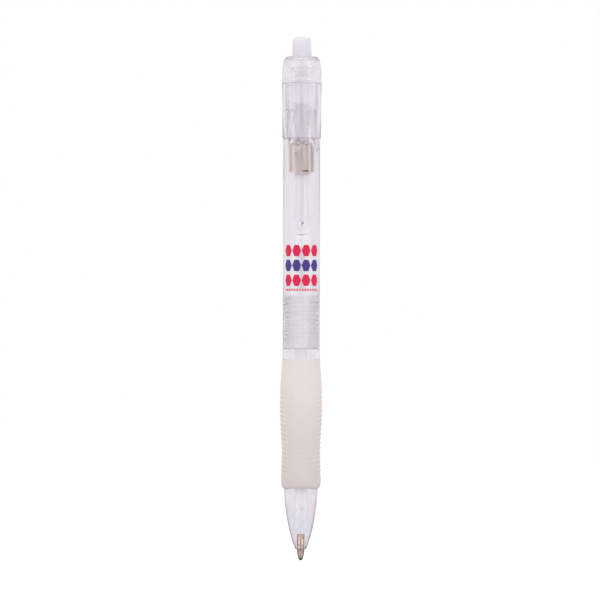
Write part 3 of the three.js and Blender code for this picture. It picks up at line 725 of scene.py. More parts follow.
def crown_tree() -> GrowthTree:
    """Saw teeth about the axis: the points of one flat ring stand back by how far they lie along a tooth.

    Returns:
        The tree, ready to grow.
    """
    tree = GrowthTree("crown_teeth", "Level", "Depth", "Inner Radius", "Ramp", counts=("Teeth",))
    flat, depth, inner, ramp, teeth = tree.given
    radius, angle, height, _ = tree.cylindrical()
    along = (angle / math.tau * teeth).do("FRACT")
    back = (along / ramp).least((1.0 - along) / (1.0 - ramp)) * depth
    return tree.push((0.0, 0.0, 1.0), back, height.do("COMPARE", flat, NEAR) * (radius > inner))


def guide_tree() -> GrowthTree:
    """Bent blocks with slanted ends, spread about the axis and joined to a body as one solid.

    Returns:
        The tree, ready to grow.
    """
    tree = GrowthTree("guides_about_axis", "Inner", "Outer", "First", "Half Angle", "Bottom", "Top",
                      "Bottom Slope", "Top Slope", counts=("Count",))
    inner, outer, first, half, bottom, top, bottom_slope, top_slope, count = tree.given
    block = tree.add("GeometryNodeMeshCube", links={"Size": (1.0, 1.0, 1.0), "Vertices X": 2, "Vertices Y": 9,
                                                    "Vertices Z": 2}).outputs[0]
    x, y, z = tree.coordinates()
    offset = y * 2.0 * half
    low, high = offset * bottom_slope + bottom, offset * top_slope + top
    block = tree.bent(block, (x + 0.5) * (outer - inner) + inner, offset, (z + 0.5) * (high - low) + low)
    turn = Term(tree.add("GeometryNodeInputIndex").outputs[0]) / count * math.tau + first
    facing = tree.add("ShaderNodeCombineXYZ", links={2: turn}).outputs[0]
    union = tree.add("GeometryNodeMeshBoolean", {"operation": "UNION", "solver": "EXACT"})
    for solid in (tree.inputs["Geometry"], tree.copies(block, count, Rotation=facing)):
        tree.tree.links.new(solid, union.inputs["Mesh 2"])
    return tree.end(union.outputs[0])


def spring_tree() -> GrowthTree:
    """A coil wound on a helix whose end turns lie closer, from round wire.

    Returns:
        The tree, ready to grow.
    """
    tree = GrowthTree("wound_spring", "Radius", "Wire", "Bottom", "Rise", "Turns", "End Turns", "End Pitch",
                      counts=("Steps", "Sides"))
    radius, wire, bottom, rise, turns, ends, end_pitch, steps, sides = tree.given
    line = tree.add("GeometryNodeCurvePrimitiveLine", links={"Start": (0, 0, 0), "End": (0, 0, 1)}).outputs[0]
    fine = tree.add("GeometryNodeResampleCurve", links={"Curve": line, "Count": steps}).outputs[0]
    turn = tree.coordinates()[2] * turns
    close = (turn.least(ends) + (turn - turns + ends).most(0.0)) * end_pitch
    share = ((turn - ends) / (turns - ends * 2.0)).most(0.0).least(1.0)
    height = share * (rise - ends * 2.0 * end_pitch) + close + bottom
    profile = tree.add("GeometryNodeCurvePrimitiveCircle", links={"Resolution": sides, "Radius": wire}).outputs[0]
    return tree.end(tree.add("GeometryNodeCurveToMesh", links={
        "Curve": tree.bent(fine, radius, turn * math.tau, height), "Profile Curve": profile,
        "Fill Caps": True}).outputs[0])


def print_tree() -> GrowthTree:
    """A row of hexagons of ink, laid on the barrel and bent round it.

    Returns:
        The tree, ready to grow.
    """
    tree = GrowthTree("printed_hexagons", "Barrel Radius", "Pitch", "Width", "Tallness", "Film", "Middle",
                      counts=("Columns",))
    barrel, pitch, width, tall, film, middle, columns = tree.given
    mark = tree.add("GeometryNodeMeshCylinder", links={"Vertices": 6, "Radius": 0.5, "Depth": 1.0}).outputs[0]
    fine = tree.add("GeometryNodeSubdivideMesh", links={"Mesh": mark, "Level": 3}).outputs[0]
    column = Term(tree.add("GeometryNodeInputIndex").outputs[0])
    across = (column - (columns - 1.0) * 0.5) * pitch
    spot = tree.add("ShaderNodeCombineXYZ", links={0: across, 2: middle}).outputs[0]
    row = tree.add("GeometryNodePoints", links={"Count": columns, "Position": spot}).outputs[0]
    size = tree.add("ShaderNodeCombineXYZ", links={0: width, 1: tall, 2: film}).outputs[0]
    x, y, z = tree.coordinates()
    marks = tree.copies(fine, columns, Points=row, Rotation=(math.pi / 2, 0.0, 0.0), Scale=size)
    return tree.end(tree.bent(marks, barrel - y, x / barrel, z))


# Finishes


@dataclass(frozen=True)
class Finish:
    """What a surface is made of and how it was made."""

    name: str
    colour: str
    roughness: float

    def dress(self, shader: "Shader") -> None:
        """Adds this finish's own nodes."""

    def material(self) -> bpy.types.Material:
        """The finish as a material, made once.

        Returns:
            The material.
        """
        made = bpy.data.materials.get(self.name)
        if made is None:
            made = bpy.data.materials.new(self.name)
            made.use_nodes = True
            made.diffuse_color = linear(self.colour)
            self.dress(Shader(made, self))
        return made


class Shader(Net):
    """A material's tree, with its Principled shader and what its patterns share."""

    def __init__(self, made: bpy.types.Material, finish: Finish) -> None:
        """Finds the shader.

        Args:
            made: The new material.
            finish: What it shows.
        """
        super().__init__(made.node_tree, "ShaderNodeTexCoord", "Object")
        self.surface = next(n for n in self.tree.nodes if n.type == "BSDF_PRINCIPLED")
        self.output = next(n for n in self.tree.nodes if n.type == "OUTPUT_MATERIAL")
        self.finish = finish

    def set(self, **values: Any) -> None:
        """Gives the shader's inputs constants or outputs, with spaces written as underscores."""
        for key, value in values.items():
            give(self.surface.inputs[key.replace("_", " ")], value)

    def facing(self) -> Term:
        """Zero where the surface faces the eye, one where it turns away."""
        return Term(self.add("ShaderNodeLayerWeight", links={"Blend": 0.5}).outputs["Facing"])

    def steps(self, height: Term, marks: Marks) -> Term:
        """A number that goes straight from mark to mark of height, held below the first and above the last.

        Args:
            height: The height in metres.
            marks: Heights in millimetres, and the numbers there.

        Returns:
            The number.
        """
        first, last = marks[0][0], marks[-1][0]
        share = height.ramp(first * MM, last * MM, kind="LINEAR")
        node = self.add("ShaderNodeValToRGB", links={0: share})
        line = node.color_ramp.elements
        for at, _ in marks[1:-1]:
            line.new((at - first) / (last - first))
        for element, (_, number) in zip(line, marks):
            element.color = (number, number, number, 1.0)
        return Term(node.outputs["Color"])

    def spot_at(self, x: float, height: float, wide: float, tall: float, front: float = 0.0) -> Term:
        """One inside an ellipse on the front, fading to zero at its edge.

        Args:
            x: Its middle, sideways, in millimetres from the origin, as all sizes here.
            height: Its middle's height.
            wide: Half its width.
            tall: Half its height.
            front: The surface has it only before this depth.

        Returns:
            The number.
        """
        across, depth, up = self.coordinates()
        across, up = (across - x * MM) / (wide * MM), (up - height * MM) / (tall * MM)
        return (across * across + up * up).ramp(1.0, 0.2) * (depth < front * MM)

    def roughen(self, pattern: Term, spread: float, low: float = NOISE[0]) -> None:
        """Varies the finish's roughness with a pattern, by up to the spread."""
        least = self.finish.roughness
        self.set(Roughness=pattern.ramp(low, 1.0 - low, least, least + spread))

    def relief(self, height: Any, depth: float) -> None:
        """Bumps the surface by a height from 0 to 1, depth millimetres deep."""
        links = {"Height": height, "Distance": depth * MM, "Strength": 1.0}
        self.set(Normal=self.add("ShaderNodeBump", links=links).outputs[0])


@dataclass(frozen=True)
class ClearMoulding(Finish):
    """Clear polycarbonate from a polished mould, with flow lines; the core pins left its bores matt in places."""

    tint: str = "#fffeff"  # what one wall leaves of white light
    wall: float = 2.2  # depth of that wall
    index: float = 1.57
    flow_width: float = 1.6
    flow_depth: float = 0.0001
    bore: float = 4.35  # radius within which the surface is a core pin's
    outside: tuple[float, float] = (4.6, 4.7)  # radii between which the outer skin begins
    nose: tuple[float, float] = (-17.0, -17.4)  # heights between which it takes in the whole nose
    edge: str = "#cbc1d0"  # painted shade on silhouettes: what a silhouette leaves of white light
    silhouette_shade_turn: tuple[float, float] = (0.6, 0.92)  # how far the skin turns away where a silhouette starts and is full
    matt: Marks = (  # heights, and the roughness that the pins leave there
        (17.0, 0.16), (17.4, 0.0), (20.5, 0.0), (20.9, 0.48), (34.4, 0.48), (35.2, 0.16), (76.8, 0.16), (77.2, 0.6),
        (84.6, 0.6), (84.8, 0.3))
    pad_reflection: tuple[float, float, float, float, float] | None = None  # painted dark reflection over the clip's pad: sideways, height, half sizes, depth
    pad_reflection_colour: str = "#5c52a4"
    joints: Marks = (  # heights, and how much painted shade the joints between mouldings get there
        (76.9, 0.0), (77.0, 1.0), (77.2, 1.0), (77.3, 0.0), (91.8, 0.0), (91.9, 1.0), (92.05, 1.0), (92.15, 0.0))
    # Colour of the painted shade in the joints.
    joint_shade: str = "#d3ccd9"
    thread: tuple[float, float, float] = (1.2, 21.01, 34.21)  # pitch and ends of the thread, whose roots are greyed by painted shade
    root: tuple[float, float] = (0.65, 0.15)  # nearness to the crest where a root starts and is full
    root_shade: float = 0.06  # painted shade: what a root takes from the light
    streak: float = 0.55  # width of the streaks along the pull
    streak_depth: Marks = ((76.8, 0.05), (77.2, 0.03))  # heights, and what streaks take from the light there

    def dress(self, shader: Shader) -> None:
        """Glass-like body with absorption; the flow lines run with the pull of the mould. Painted shade darkens its
        silhouettes, its thread's roots and the joints between mouldings, and where it is set, a painted dark
        reflection lies over the clip's pad.

        Args:
            shader: The material's tree.
        """
        radius, angle, height, _ = shader.cylindrical()
        pin = radius.ramp((self.bore + 0.05) * MM, self.bore * MM)
        skin = radius.ramp(*(r * MM for r in self.outside)).most(height.ramp(*(h * MM for h in self.nose)))
        base = linear(self.colour)
        streaks = shader.noise(self.streak, (1, 1, 0.01), 3.0).ramp(*STREAKS)
        body = shader.blend(streaks * shader.steps(height, self.streak_depth), base, BLACK)
        # Painted shade darkens the silhouettes of the outer skin.
        body = shader.blend(shader.facing().ramp(*self.silhouette_shade_turn) * skin, body, linear(self.edge))
        pitch, start, end = (size * MM for size in self.thread)
        # Painted shade greys the thread's roots.
        roots = helix(angle, height, start, pitch).ramp(*self.root) * (height > start) * (height < end) * pin
        body = shader.blend(roots, body, dimmed(base, 1 - self.root_shade))
        # Painted shade in the joints between mouldings.
        if self.joints:
            body = shader.blend(shader.steps(height, self.joints) * skin, body, linear(self.joint_shade))
        # A painted dark reflection over the clip's pad.
        if self.pad_reflection:
            body = shader.blend(shader.spot_at(*self.pad_reflection), body, linear(self.pad_reflection_colour))
        cloud = shader.noise(self.flow_width * 5, (1, 1, 0.3))
        polish = cloud.ramp(*NOISE, self.roughness, 1.6 * self.roughness)
        grain = shader.noise(0.5, (1, 1, 0.2)).ramp(*NOISE, 0.8, 1.2)
        shader.set(Transmission_Weight=1.0, IOR=self.index, Base_Color=body,
                   Roughness=polish.most(pin * shader.steps(height, self.matt) * grain))
        shader.relief(shader.noise(self.flow_width, (1, 1, 0.04), 3.0), self.flow_depth)
        loss = [-math.log(c) / (self.wall * MM) for c in linear(self.tint)[:3]]
        density = 2 * max(loss)
        kept = (*(1 - value / density for value in loss), 1.0)
        depth = shader.add("ShaderNodeVolumeAbsorption", links={"Color": kept, "Density": density})
        give(shader.output.inputs["Volume"], depth.outputs[0])


@dataclass(frozen=True)
class FrostedMoulding(Finish):
    """Natural polypropylene from an eroded mould: milky, satin, letting light through."""

    clearness: float = 0.08
    depth: float = 1.2
    grain: float = 0.12  # drawn coarser than the mould's real 0.03, so that it shows
    under_cap_colour: str | None = None  # colour of the part that sits inside the cap, lighter than the rest
    kept: tuple[float, float] = (98.6, 99.2)  # heights between which that part ends

    def dress(self, shader: Shader) -> None:
        """Milky body with light under the skin; a fine even grain breaks the gloss.

        Args:
            shader: The material's tree.
        """
        base = linear(self.colour)
        body = shader.blend(shader.noise(2.5, (1, 1, 0.35), 3.0), base, dimmed(base, 0.94))
        # The part inside the cap gets the lighter colour.
        if self.under_cap_colour:
            out_of_cap = shader.coordinates()[2].ramp(*(h * MM for h in self.kept))
            body = shader.blend(out_of_cap, linear(self.under_cap_colour), body)
        shader.set(Transmission_Weight=self.clearness, IOR=1.49, Subsurface_Weight=0.7, Base_Color=body,
                   Subsurface_Scale=self.depth * MM, Subsurface_Radius=(1.0, 0.95, 1.0))
        grain = shader.noise(self.grain, detail=1.0)
        shader.roughen(grain, 0.08, 0.2)
        shader.relief(grain, 0.004)


@dataclass(frozen=True)
class SmokeMoulding(Finish):
    """Smoke brown acetal: half clear, drawn into darker and lighter streaks along the mould's pull."""

    # The darker colour serves both the streaks and the painted shade.
    dark: str = "#c9b9ae"
    streak: float = 0.55
    mark: tuple[float, float, float, float] = (1.0, 68.25, 1.2, 0.3)  # painted shadow at the lower end, where the refill tube ends: sideways, height, half sizes
    shadow_spot_colour: str = "#6e4a30"
    streak_share: float = 0.65  # how dark the streaks get
    side_key_shade: tuple[float, float, float, float] = (1.0, 2.2, 0.0, 0.28)  # painted shade towards both sides, over the side keys, and from what to what
    plus_x_shade: tuple[float, float, float, float] = (0.6, 3.2, 0.0, 0.6)  # painted shade, the same for the +X side

    def dress(self, shader: Shader) -> None:
        """Streaks of colour, with painted shade towards both sides and more of it to +X, and a brown painted shadow at
        the lower end.

        Args:
            shader: The material's tree.
        """
        streaks = shader.noise(self.streak, (1, 1, 0.03), 3.0)
        # Painted shade darkens both sides, and the +X side more.
        sideways = shader.coordinates()[0] / MM
        share = streaks.ramp(*STREAKS, 0.0, self.streak_share) + abs(sideways).ramp(*self.side_key_shade)
        share = share + sideways.ramp(*self.plus_x_shade)
        body = shader.blend(share, linear(self.colour), linear(self.dark))
        # A painted shadow lies at the lower end, where the refill tube ends.
        shader.set(Transmission_Weight=0.1, IOR=1.48, Subsurface_Weight=0.3, Subsurface_Scale=0.5 * MM,
                   Subsurface_Radius=(1.0, 0.92, 0.88),
                   Base_Color=shader.blend(shader.spot_at(*self.mark), body, linear(self.shadow_spot_colour)))
        shader.roughen(streaks, 0.12)
        shader.relief(shader.noise(0.3, (1, 1, 0.1)), 0.006)


@dataclass(frozen=True)
class SoftRubber(Finish):
    """Moulded thermoplastic rubber: matt and creamy, greyer towards the lower end by painted shade, with a fine bloom.
    """

    # Painted shade: the greyer colour towards the lower end.
    low_shade_colour: str = "#e1d7d4"
    bloom: Colour = (0.965, 0.955, 0.95, 1.0)  # what it leaves of the light
    grain: float = 0.16  # drawn coarser than the real 0.05, so that it shows
    span: tuple[float, float] = (-17.0, 15.0)  # heights between which the painted shade gives way to the plain colour

    def dress(self, shader: Shader) -> None:
        """Colour by height, darker towards the bottom as painted shade, mottled; a soft sheen and a fine grain.

        Args:
            shader: The material's tree.
        """
        # Painted shade, darker towards the bottom.
        rise = shader.coordinates()[2].ramp(*(h * MM for h in self.span))
        plain = shader.blend(rise, linear(self.low_shade_colour), linear(self.colour))
        cloud = shader.noise(3.0, detail=4.0).ramp(*NOISE, 0.0, 0.5)
        body = shader.add("ShaderNodeMix", {"data_type": "RGBA", "blend_type": "MULTIPLY"},
                          {0: cloud, 6: plain, 7: self.bloom}).outputs[2]
        shader.set(Subsurface_Weight=0.12, Subsurface_Scale=0.8 * MM, Sheen_Weight=0.08, Sheen_Roughness=0.5,
                   Specular_IOR_Level=0.35, Base_Color=body)
        grain = shader.noise(self.grain)
        shader.roughen(grain, 0.1)
        shader.relief(grain, 0.012)


@dataclass(frozen=True)
class OpaqueMoulding(Finish):
    """Opaque white polypropylene, extruded or moulded: satin, with fine lines along its length."""

    line: float = 0.35

    def dress(self, shader: Shader) -> None:
        """Nearly plain white with faint drawn lines.

        Args:
            shader: The material's tree.
        """
        lines = shader.noise(self.line, (1, 1, 0.02), 3.0)
        base = linear(self.colour)
        shader.set(Subsurface_Weight=0.15, Subsurface_Scale=0.4 * MM, IOR=1.49,
                   Base_Color=shader.blend(lines, base, dimmed(base, 0.95)))
        shader.roughen(lines, 0.1)
        shader.relief(lines, 0.003)


@dataclass(frozen=True)
class TurnedMetal(Finish):
    """Metal turned on an automatic lathe: bright, with fine rings from the tool."""

    dark: str
    ring: float = 0.07  # the feed of the tool, drawn coarser than the real 0.02
    ring_depth: float = 0.0015
    flank: str = "#7b6555"  # painted shade where the surface turns away
    ink_and_shade: str = "#1f1917"  # ink dried at the lower end, deepened by painted shade under the rolled lip
    ink_and_shade_span: tuple[float, float] = (-35.9, -36.38)  # heights between which it thickens

    def dress(self, shader: Shader) -> None:
        """Rings about the axis by height, a faint tarnish, painted shade where the surface turns away, and at the
        lower end dried ink deepened by painted shade.

        Args:
            shader: The material's tree.
        """
        height = shader.coordinates()[2]
        tarnish = shader.noise(0.6, detail=4.0)
        body = shader.blend(tarnish.ramp(*STAINS), linear(self.colour), linear(self.dark))
        # Painted shade where the surface turns away.
        body = shader.blend(shader.facing().ramp(0.12, 0.5), body, linear(self.flank))
        # Dried ink at the lower end, deepened by painted shade of the lip.
        body = shader.blend(height.ramp(*(h * MM for h in self.ink_and_shade_span)), body, linear(self.ink_and_shade))
        shader.set(Metallic=1.0, Base_Color=body)
        shader.roughen(tarnish, 0.1)
        shader.relief((height * (math.tau / (self.ring * MM))).do("SINE") * 0.5 + 0.5, self.ring_depth)


@dataclass(frozen=True)
class DrawnWire(Finish):
    """Bright drawn spring wire: fine scratches along it, a darker oil film in places."""

    def dress(self, shader: Shader) -> None:
        """Steel with streaks and stains.

        Args:
            shader: The material's tree.
        """
        base = linear(self.colour)
        film = shader.noise(1.1, detail=3.0).ramp(0.45, 0.75)
        shader.set(Metallic=1.0, Base_Color=shader.blend(film, base, dimmed(base, 0.75)))
        scratch = shader.noise(0.08, (1, 1, 6))
        shader.roughen(scratch, 0.15)
        shader.relief(scratch, 0.001)


@dataclass(frozen=True)
class ThickLiquid(Finish):
    """A thick liquid in the tube, ink or grease: wet gloss, with slow swirls."""

    clearness: float = 0.0

    def dress(self, shader: Shader) -> None:
        """Wet surface with drawn-out clouds.

        Args:
            shader: The material's tree.
        """
        swirl = shader.noise(1.4, (1, 1, 0.25), 3.0)
        base = linear(self.colour)
        shader.set(Transmission_Weight=self.clearness, IOR=1.45,
                   Base_Color=shader.blend(swirl, base, dimmed(base, 0.7)))
        shader.roughen(swirl, 0.08)
        shader.relief(swirl, 0.01)


@dataclass(frozen=True)
class PadPrint(Finish):
    """Pad-printed ink: a thin satin film over a white first coat, slightly uneven in cover."""

    under: str = "#f6f5f7"  # the first coat, which the barrel's inside sees
    thin: tuple[float, float] = (1.15, 0.01)  # factor and lift of the colour where the film is thin

    def dress(self, shader: Shader) -> None:
        """Ink with a mottled cover, white on the side that faces the axis.

        Args:
            shader: The material's tree.
        """
        cover = shader.noise(0.35, detail=3.0)
        base = linear(self.colour)
        factor, lift = self.thin
        thin = (*(min(1.0, factor * part + lift) for part in base[:3]), 1.0)
        ink = shader.blend(cover.ramp(*STAINS), base, thin)
        outward = shader.cylindrical()[3]
        normal = shader.add("ShaderNodeNewGeometry").outputs["True Normal"]
        away = shader.add("ShaderNodeVectorMath", {"operation": "DOT_PRODUCT"}, {0: normal, 1: outward})
        inward = Term(away.outputs["Value"]) < 0.0
        shader.set(IOR=1.5, Base_Color=shader.blend(inward, ink, linear(self.under)))
        shader.roughen(cover, 0.12)
        shader.relief(shader.noise(0.12), 0.003)


class Finishes(Enum):
    """Every finish on the pen."""

    CLEAR_SHELL = ClearMoulding("clear_polycarbonate_moulded", "#fefeff", 0.02)
    CLEAR_FRONT = ClearMoulding(
        "clear_front_polycarbonate_moulded", "#fefeff", 0.02, edge="#ddd5e0", streak=0.4,
        matt=((17.0, 0.16), (17.4, 0.0), (20.5, 0.0), (20.9, 0.24), (34.4, 0.24), (35.2, 0.16)),
        joints=((20.2, 0.0), (20.3, 1.0), (20.6, 1.0), (20.7, 0.0)), streak_depth=((-17.4, 0.11), (-17.0, 0.05)))
    CLEAR_CLIP = ClearMoulding("clear_clip_polycarbonate_moulded", "#fefeff", 0.02, matt=((0.0, 0.28), (9.0, 0.28)),
                               pad_reflection=(0.3, 54.2, 0.42, 0.44, -8.0), joints=())
    FROSTED = FrostedMoulding("milky_polypropylene_moulded", "#f6effd", 0.38, under_cap_colour="#fdfbff")
    FROSTED_INNER = FrostedMoulding("milky_inner_polypropylene_moulded", "#fefcff", 0.34)
    SMOKE = SmokeMoulding("smoke_acetal_moulded", "#fff6f2", 0.35)
    RUBBER = SoftRubber("cream_rubber_moulded", "#efe5e2", 0.62)
    REFILL = OpaqueMoulding("white_polypropylene_extruded", "#f7f5f8", 0.4)
    SOCKET = OpaqueMoulding("white_acetal_moulded", "#edeff4", 0.3)
    POINT = TurnedMetal("nickel_silver_turned", "#d2bbac", 0.08, dark="#a89180")
    BALL = TurnedMetal("tungsten_carbide_ground", "#1d1917", 0.12, dark="#151210", ring_depth=0.0003)
    SPRING = DrawnWire("spring_steel_drawn", "#b9b9bb", 0.22)
    INK = ThickLiquid("violet_ink_liquid", "#2a2748", 0.12)
    GREASE = ThickLiquid("clear_grease_soft", "#ddd4ae", 0.2, clearness=0.5)
    PRINT_RED = PadPrint("red_ink_pad_printed", "#e20c4a", 0.42)
    PRINT_VIOLET = PadPrint("violet_ink_pad_printed", "#45348a", 0.42)


# Pieces and sub-assemblies


@dataclass
class Piece:
    """A finished mesh, its finish, and what it says to the frame."""

    shape: Shape
    finish: Finishes
    body: str
    node: str | None = None
    slot: str | None = None
    bends_to: str | None = None
    bend: tuple[Vector, Vector] | None = None

    def hand_over(self) -> None:
        """Dresses the mesh and makes it ride on its body, or bend between two."""
        self.shape.data.materials.clear()
        self.shape.data.materials.append(self.finish.value.material())
        if self.bends_to and self.bend:
            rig.blend(self.shape, self.body, self.bends_to, start=self.bend[0], end=self.bend[1])
        else:
            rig.ride(self.shape, self.body)
        if self.node:
            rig.replaces(self.shape, self.node)
        if self.slot:
            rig.slot(self.shape, self.slot)
        corners = len(self.shape.data.vertices)
        log.info("%s rides on %s, %d corners", self.shape.name, self.body, corners)


@dataclass
class Threads:
    """The thread between the two barrels, right-handed."""

    pitch: float = 1.2
    depth: float = 0.15
    start: float = 57.74
    end: float = 70.94
    male_root: float = 3.8
    female_root: float = 3.95
    row: float = 0.075  # height of a row of facets, a sixteenth of a turn
    tree: GrowthTree = field(default_factory=thread_tree)

    def stretch(self, root: float) -> Outline:
        """The line that the thread is raised on, upwards, in rows of facets."""
        return ruled([(root, self.start), (root, self.end)], self.row)

    def cut(self, shape: Shape, root: float) -> Shape:
        """Raises the thread on the stretch of the shape that has the root's radius."""
        return self.tree.grow(shape, {"Radius": root, "Depth": self.depth, "Pitch": self.pitch, "Fade": self.pitch,
                                      "Start": level(self.start), "End": level(self.end)}, {})


@dataclass
class FrontBarrel:
    """Clear nose, core under the grip, collar and threaded tenon in one moulding."""

    threads: Threads
    nose_front: float = 3.02
    nose_back: float = 19.36
    nose_rows: int = 28
    grip_top: float = 54.1
    collar_top: float = 57.24
    tenon_top: float = 71.3
    nose_marks: Marks = ((1.5, 3.02), (4.0, 9.42), (4.62, 19.36))
    hole: float = 1.25
    hole_top: float = 5.32
    guide: float = 1.72
    guide_bottom: float = 8.82
    spring_seat: float = 23.02
    core: float = 4.1
    bore: float = 2.7
    collar: float = 5.06
    lip: Marks = ((1.42, 0.0), (1.52, 0.12))  # radii and rises of the corners round the front hole

    def build(self) -> Iterator[Piece]:
        """The moulding as one closed shell.

        Returns:
            The pieces, one by one.
        """
        marks = [Vector(mark) for mark in self.nose_marks]
        front = [tuple(swing(marks, i / self.nose_rows)) for i in range(self.nose_rows + 1)]
        lip = [(self.hole + 0.06, self.nose_front)] + [(radius, self.nose_front + rise) for radius, rise in self.lip]
        inside = rounded([
            (self.bore, self.tenon_top, 0.12), (self.bore, self.spring_seat, 0.15),
            (self.guide, self.spring_seat, 0.15), (self.guide, self.guide_bottom, 2.0),
            (self.hole, self.hole_top, 1.0), (self.hole, self.nose_front + 0.06),
        ], ring=False)
        root = self.threads.male_root
        outside = rounded([
            front[-1], (self.core, self.nose_back, 0.1), (self.core, self.grip_top, 0.1),
            (self.collar, self.grip_top, 0.15), (self.collar, self.collar_top, 0.3), (root, self.collar_top, 0.1),
            (root, self.threads.start),
        ], ring=False, steps=6)
        end = [(root, self.tenon_top - 0.1), (root - 0.15, self.tenon_top)]
        outline = inside + lip + front[1:] + outside[1:] + self.threads.stretch(root)[1:] + end
        shape = self.threads.cut(turned("nose_and_collar", outline, 128), root)
        yield Piece(shape, Finishes.CLEAR_FRONT, "barrel", "front_barrel", "clear_shell")


@dataclass
class Grip:
    """The rubber grip: a waisted sleeve with ribs across both flanks."""

    bottom: float = 19.41
    top: float = 54.05
    bore: float = 4.15
    marks: Marks = (  # rises and radii of the outside, before it is fitted between bottom and top
        (0.0, 4.72), (0.75, 5.24), (2.4, 5.34), (4.6, 5.37), (9.0, 5.25), (13.0, 5.35), (17.2, 5.62), (21.7, 5.75),
        (25.0, 5.69), (29.3, 5.47), (32.6, 5.23), (34.74, 5.12))
    rib_start: float = 3.6
    rib_count: int = 18
    rib_pitch: float = 1.24
    rib_depth: float = 0.2
    rib_half_span: float = math.radians(42)
    rib_fade: float = math.radians(9)
    rib_floor: float = 4.55  # what lies within this radius isn't ribbed
    front_depth: float = 0.03
    front_run: tuple[float, float] = (6.5, 12.5)
    front_fade: float = 1.2
    row: float = 0.155

    def height(self, rise: float) -> float:
        """The height of a rise above the grip's lower end."""
        return self.bottom + (self.top - self.bottom) * rise / self.marks[-1][0]

    def build(self) -> Iterator[Piece]:
        """The sleeve, turned and then ribbed.

        Returns:
            The pieces, one by one.
        """
        side = ruled([(radius, self.height(rise)) for rise, radius in through(self.marks, 10)], self.row)
        (low, _), (high, _) = side[0], side[-1]
        top = [(high - 0.04, self.top), (self.bore + 0.1, self.top), (self.bore, self.top - 0.1)]
        foot = [(self.bore, self.bottom + 0.1), (self.bore + 0.1, self.bottom), (low - 0.12, self.bottom)]
        side = [(low, self.bottom + 0.1)] + side[2:-1] + [(high, self.top - 0.06)]
        start, front_low, front_high = (level(self.height(rise)) for rise in (self.rib_start, *self.front_run))
        shape = rib_tree().grow(turned("grip_sleeve", foot + side + top, 160), {
            "Inner Radius": self.rib_floor, "Depth": self.rib_depth, "Pitch": self.rib_pitch, "Start": start,
            "Front Depth": self.front_depth, "Front Low": front_low, "Front High": front_high,
            "Front Fade": self.front_fade,
        }, {"Half Span": self.rib_half_span, "Span Fade": self.rib_fade, "Count": self.rib_count})
        yield Piece(shape, Finishes.RUBBER, "barrel", "rubber_grip", "white_rubber")


@dataclass
class Guides:
    """Keys, splines and cam ribs that share one tree: four blocks about the axis."""

    count: int = 4
    slope: float = 4.0 / math.radians(45)  # rise of the cam for each radian
    tree: GrowthTree = field(default_factory=guide_tree)

    def join(self, shape: Shape, radii: tuple[float, float], half: float, span: tuple[float, float],
             slopes: tuple[float, float] = (0.0, 0.0), first: float = 0.0) -> Shape:
        """Joins the blocks to a shape.

        Args:
            shape: The body that carries them.
            radii: Their inner and outer radius.
            half: Half the angle that each takes up.
            span: The heights of their lower and upper end at their middle.
            slopes: Rise of the lower and of the upper end for each radian.
            first: The angle of the first block's middle.

        Returns:
            The same object, as one solid.
        """
        sizes = dict(zip(("Inner", "Outer", "Bottom", "Top", "Bottom Slope", "Top Slope"),
                         (*radii, *map(level, span), *slopes)))
        return self.tree.grow(shape, sizes, {"Half Angle": half, "First": first, "Count": self.count})


@dataclass
class UpperBarrel:
    """The clear barrel: internal thread at its foot, plain tube, and a neck with the cam ribs inside."""

    threads: Threads
    guides: Guides
    bottom: float = 57.36
    top: float = 113.8
    neck_top: float = 121.5
    radius: float = 5.0
    neck: float = 4.45
    bore: float = 3.7
    thread_end: float = 71.6
    run_out: float = 5.0  # length of the cone between thread and bore
    rib_radius: float = 2.9
    rib_half: float = math.radians(24)
    rib_low: float = 110.7
    key_half: float = math.radians(10)

    def build(self) -> Iterator[Piece]:
        """The tube, threaded, with the ribs joined in.

        Returns:
            The pieces, one by one.
        """
        minor, slope = self.threads.female_root, self.guides.slope
        outside = rounded([
            (minor, self.bottom, 0.1), (self.radius, self.bottom, 0.18), (self.radius, self.top, 0.18),
            (self.neck, self.top, 0.08), (self.neck, self.neck_top, 0.15), (self.bore, self.neck_top, 0.1),
            (self.bore, self.thread_end + self.run_out, 30.0), (minor, self.thread_end, 4.0),
        ])
        shape = self.threads.cut(turned("barrel_tube", outside + self.threads.stretch(minor)[::-1], 128), minor)
        shape = self.guides.join(shape, (self.rib_radius, (self.bore + self.neck) / 2), self.rib_half,
                                 (self.rib_low + slope * self.key_half, self.neck_top - 0.2), (slope, 0.0))
        yield Piece(shape, Finishes.CLEAR_SHELL, "barrel", "upper_barrel", "clear_shell")


